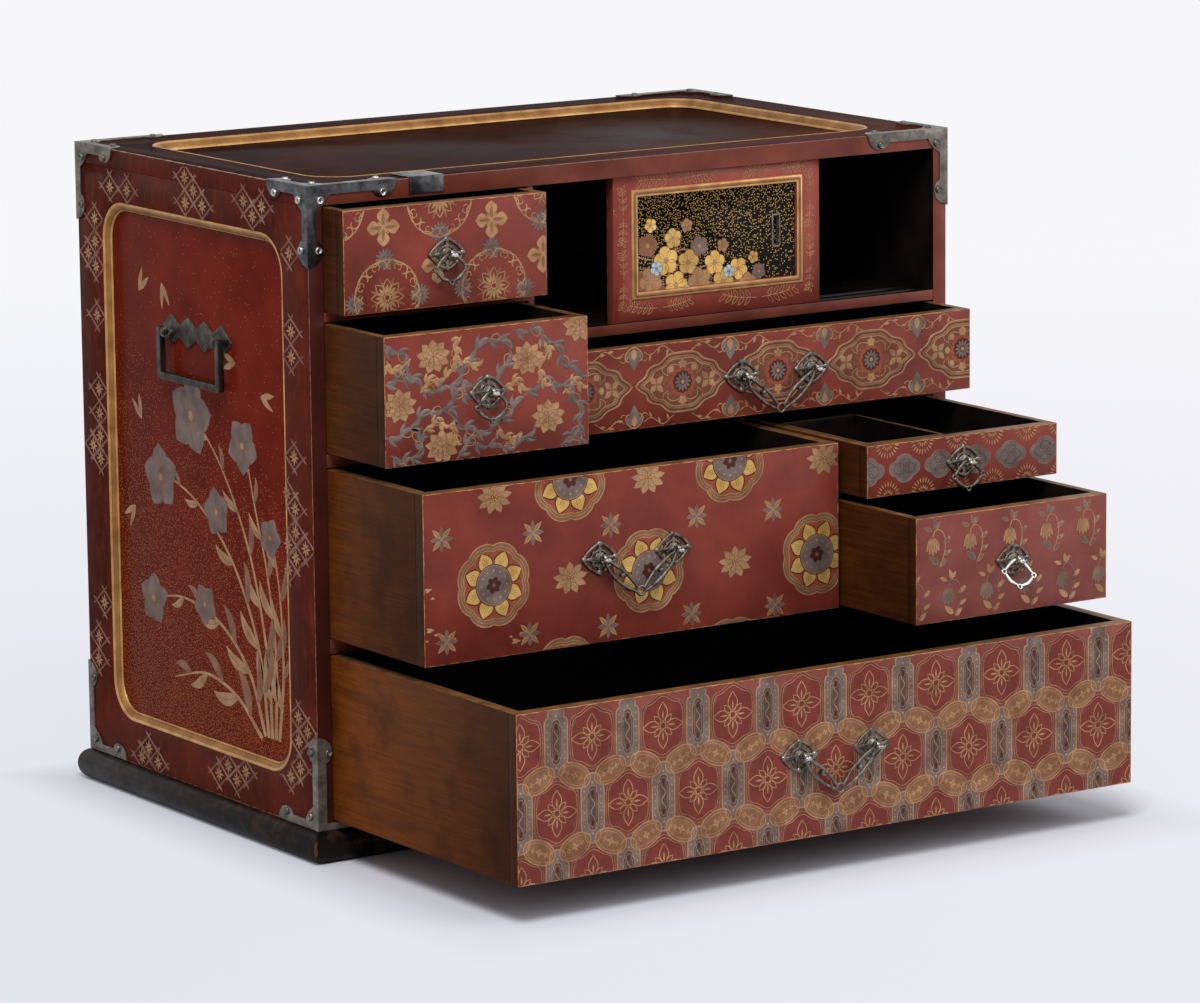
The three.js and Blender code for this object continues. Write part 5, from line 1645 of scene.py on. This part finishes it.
def decorate():
    """Draws every decorated face."""
    margin = 0.7
    for drawer, draw in PATTERNS.items():
        low, high = case_box(drawer + "_front")
        plane = (low[1] * BACK, RIGHT, UP, -BACK)
        d = Decoration(plane, low[[0, 2]] + margin, high[[0, 2]] - margin)
        draw(d)
        d.pieces(drawer + "_pattern", BODY_OF[drawer + "_front"])
    decorate_doors()
    for side, face, outward in (("left", 0.0, -1.0), ("right", CASE_WIDTH, 1.0)):
        hole = [corner[1:] for corner in case_box(side + "_moulding")]
        d = Decoration((face * RIGHT, BACK, UP, outward * RIGHT), (1, 1),
                       (CASE_DEPTH - 1, CASE_HEIGHT - 2), hole)
        draw_border(d)
        d.pieces(side + "_border", "case")
        sunk = (face - outward * SIDE_SINK) * RIGHT
        d = Decoration((sunk, BACK, UP, outward * RIGHT), PANEL_LOW, PANEL_HIGH)
        draw_panel(d)
        d.pieces(side + "_panel_grasses", "case")


# Camera, floor and light

CAMERA_PLACE = Vector((-1.90652, -2.96792, 0.81395))
# Degrees that the camera turns right from the case's front, looks down and rolls
CAMERA_TURN, CAMERA_DIP, CAMERA_ROLL = 33.5404, 10.3839, -0.6089
SENSOR_WIDTH = 36.0
FOCAL_LENGTH = 175.328


def make_camera():
    """Camera at the photograph's place and angle, with a long lens."""
    lens = bpy.data.cameras.new("camera")
    lens.sensor_fit = "HORIZONTAL"
    lens.sensor_width = SENSOR_WIDTH
    lens.lens = FOCAL_LENGTH
    lens.clip_end = 60
    camera = bpy.data.objects.new("camera", lens)
    bpy.context.scene.collection.objects.link(camera)
    turn = Matrix.Rotation(-math.radians(CAMERA_TURN), 4, "Z")
    turn = turn @ Matrix.Rotation(math.radians(90 - CAMERA_DIP), 4, "X")
    turn = turn @ Matrix.Rotation(math.radians(CAMERA_ROLL), 4, "Z")
    camera.matrix_world = Matrix.Translation(CAMERA_PLACE) @ turn
    bpy.context.scene.camera = camera


def background_rays(tree):
    """One for the rays of the camera, of gloss and of glass, which see a white background."""
    kinds = add(tree, "LightPath").node.outputs
    seen = add(tree, "Math", {0: kinds["Is Camera Ray"], 1: kinds["Is Glossy Ray"]},
               operation="MAXIMUM")
    return add(tree, "Math", {0: seen, 1: kinds["Is Transmission Ray"]}, operation="MAXIMUM")


# How far from the object's box the floor's glow begins and is whole, in metres, its share
# there, and half the floor's size
GLOW_FROM, GLOW_TO, GLOW = -0.01, 0.045, 0.95
FLOOR_REACH = 12.0


def make_floor():
    """Pale seamless floor. Near the object it is matt paper that takes its shadow, and it
    turns to an even white within a hand's breadth of it. Its colour grows paler to the right
    and away from the camera, which is painted light: the fall of the studio's light on the paper."""
    made, tree, place = start("studio_paper")
    low, high = (np.array(corner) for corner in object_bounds())
    half = (high - low) / 2
    off = add(tree, "VectorMath", {0: place, 1: tuple((low + high) / 2)}, operation="SUBTRACT")
    off = add(tree, "VectorMath", {0: off}, operation="ABSOLUTE")
    off = add(tree, "VectorMath", {0: off, 1: tuple(half)}, operation="SUBTRACT")
    x, y, z = add(tree, "SeparateXYZ", {0: off}).node.outputs
    gap = add(tree, "Math", {0: x, 1: y}, operation="MAXIMUM")
    turn = math.radians(CAMERA_TURN)
    ahead = {0: place, 1: (math.sin(turn), math.cos(turn), 0)}
    ahead = add(tree, "VectorMath", ahead, "Value", operation="DOT_PRODUCT")
    across = {0: place, 1: (math.cos(turn), -math.sin(turn), 0)}
    across = add(tree, "VectorMath", across, "Value", operation="DOT_PRODUCT")
    # paler to the right and away from the camera: painted light on the paper
    colour = painted(
        tree, "#e4e6ee",
        (add(tree, "MapRange", {0: across, 1: -0.3, 2: 0.5, 4: 0.6}), "#f0eff5"),
        (add(tree, "MapRange", {0: ahead, 1: -0.2, 2: 2.2}), "#fafafc"))
    paper = add(tree, "BsdfPrincipled",
                {"Base Color": colour, "Roughness": 0.9, "Specular IOR Level": 0.1})
    glow = add(tree, "Emission", {"Color": colour, "Strength": 1.0})
    far = add(tree, "MapRange", {0: gap, 1: GLOW_FROM, 2: GLOW_TO, 3: 0.0, 4: GLOW})
    share = add(tree, "Math", {0: far, 1: background_rays(tree)}, operation="MULTIPLY")
    surface = add(tree, "MixShader", {0: share, 1: paper, 2: glow})
    add(tree, "OutputMaterial", {"Surface": surface})
    mesh = bpy.data.meshes.new("floor")
    corners = np.array([(-1, -1, 0), (1, -1, 0), (1, 1, 0), (-1, 1, 0)]) * FLOOR_REACH
    mesh.from_pydata(corners.tolist(), [], [(0, 1, 2, 3)])
    mesh.materials.append(made)
    floor = bpy.data.objects.new("floor", mesh)
    bpy.context.scene.collection.objects.link(floor)
    floor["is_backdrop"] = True


def add_lamp(name, place, target, size, power):
    """Square soft lamp at a place, turned to a target."""
    light = bpy.data.lights.new(name, "AREA")
    light.shape = "SQUARE"
    light.size = size
    light.energy = power
    lamp = bpy.data.objects.new(name, light)
    bpy.context.scene.collection.objects.link(lamp)
    aim = (Vector(target) - Vector(place)).to_track_quat("-Z", "Y")
    lamp.matrix_world = Matrix.Translation(place) @ aim.to_matrix().to_4x4()


# Place, target, size and power of the two soft boxes, in metres and watts
LAMPS = {
    "key": ((-1.2, -1.7, 2.6), (0, 0, 0.15), 1.1, 58),
    "fill": ((1.7, -2.3, 1.5), (0, -0.1, 0.15), 1.6, 26),
}
SURROUND = 0.38


def make_light():
    """Two soft boxes and a pale even surround, which is white where it is seen."""
    for name, lamp in LAMPS.items():
        add_lamp(name, *lamp)
    world = bpy.data.worlds.new("studio")
    bpy.context.scene.world = world
    world.use_nodes = True
    tree = world.node_tree
    strength = add(tree, "MapRange", {0: background_rays(tree), 3: SURROUND, 4: 1.0})
    shade = tree.nodes["Background"]
    shade.inputs["Color"].default_value = linear("#f8f9fc")
    tree.links.new(strength, shade.inputs["Strength"])


make_camera()
make_case()
make_moulding("top_moulding", (0, 1), 1, CASE_HEIGHT - TOP_SINK, TOP_SINK)
make_moulding("left_moulding", (1, 2), -1, SIDE_SINK, SIDE_SINK)
make_moulding("right_moulding", (1, 2), 1, CASE_WIDTH - SIDE_SINK, SIDE_SINK)
make_drawers()
make_door("front_sliding_door")
make_door("rear_sliding_door")
make_pulls()
make_mounts()
decorate()
make_floor()
make_light()
bpy.context.scene.view_settings.view_transform = "Standard"
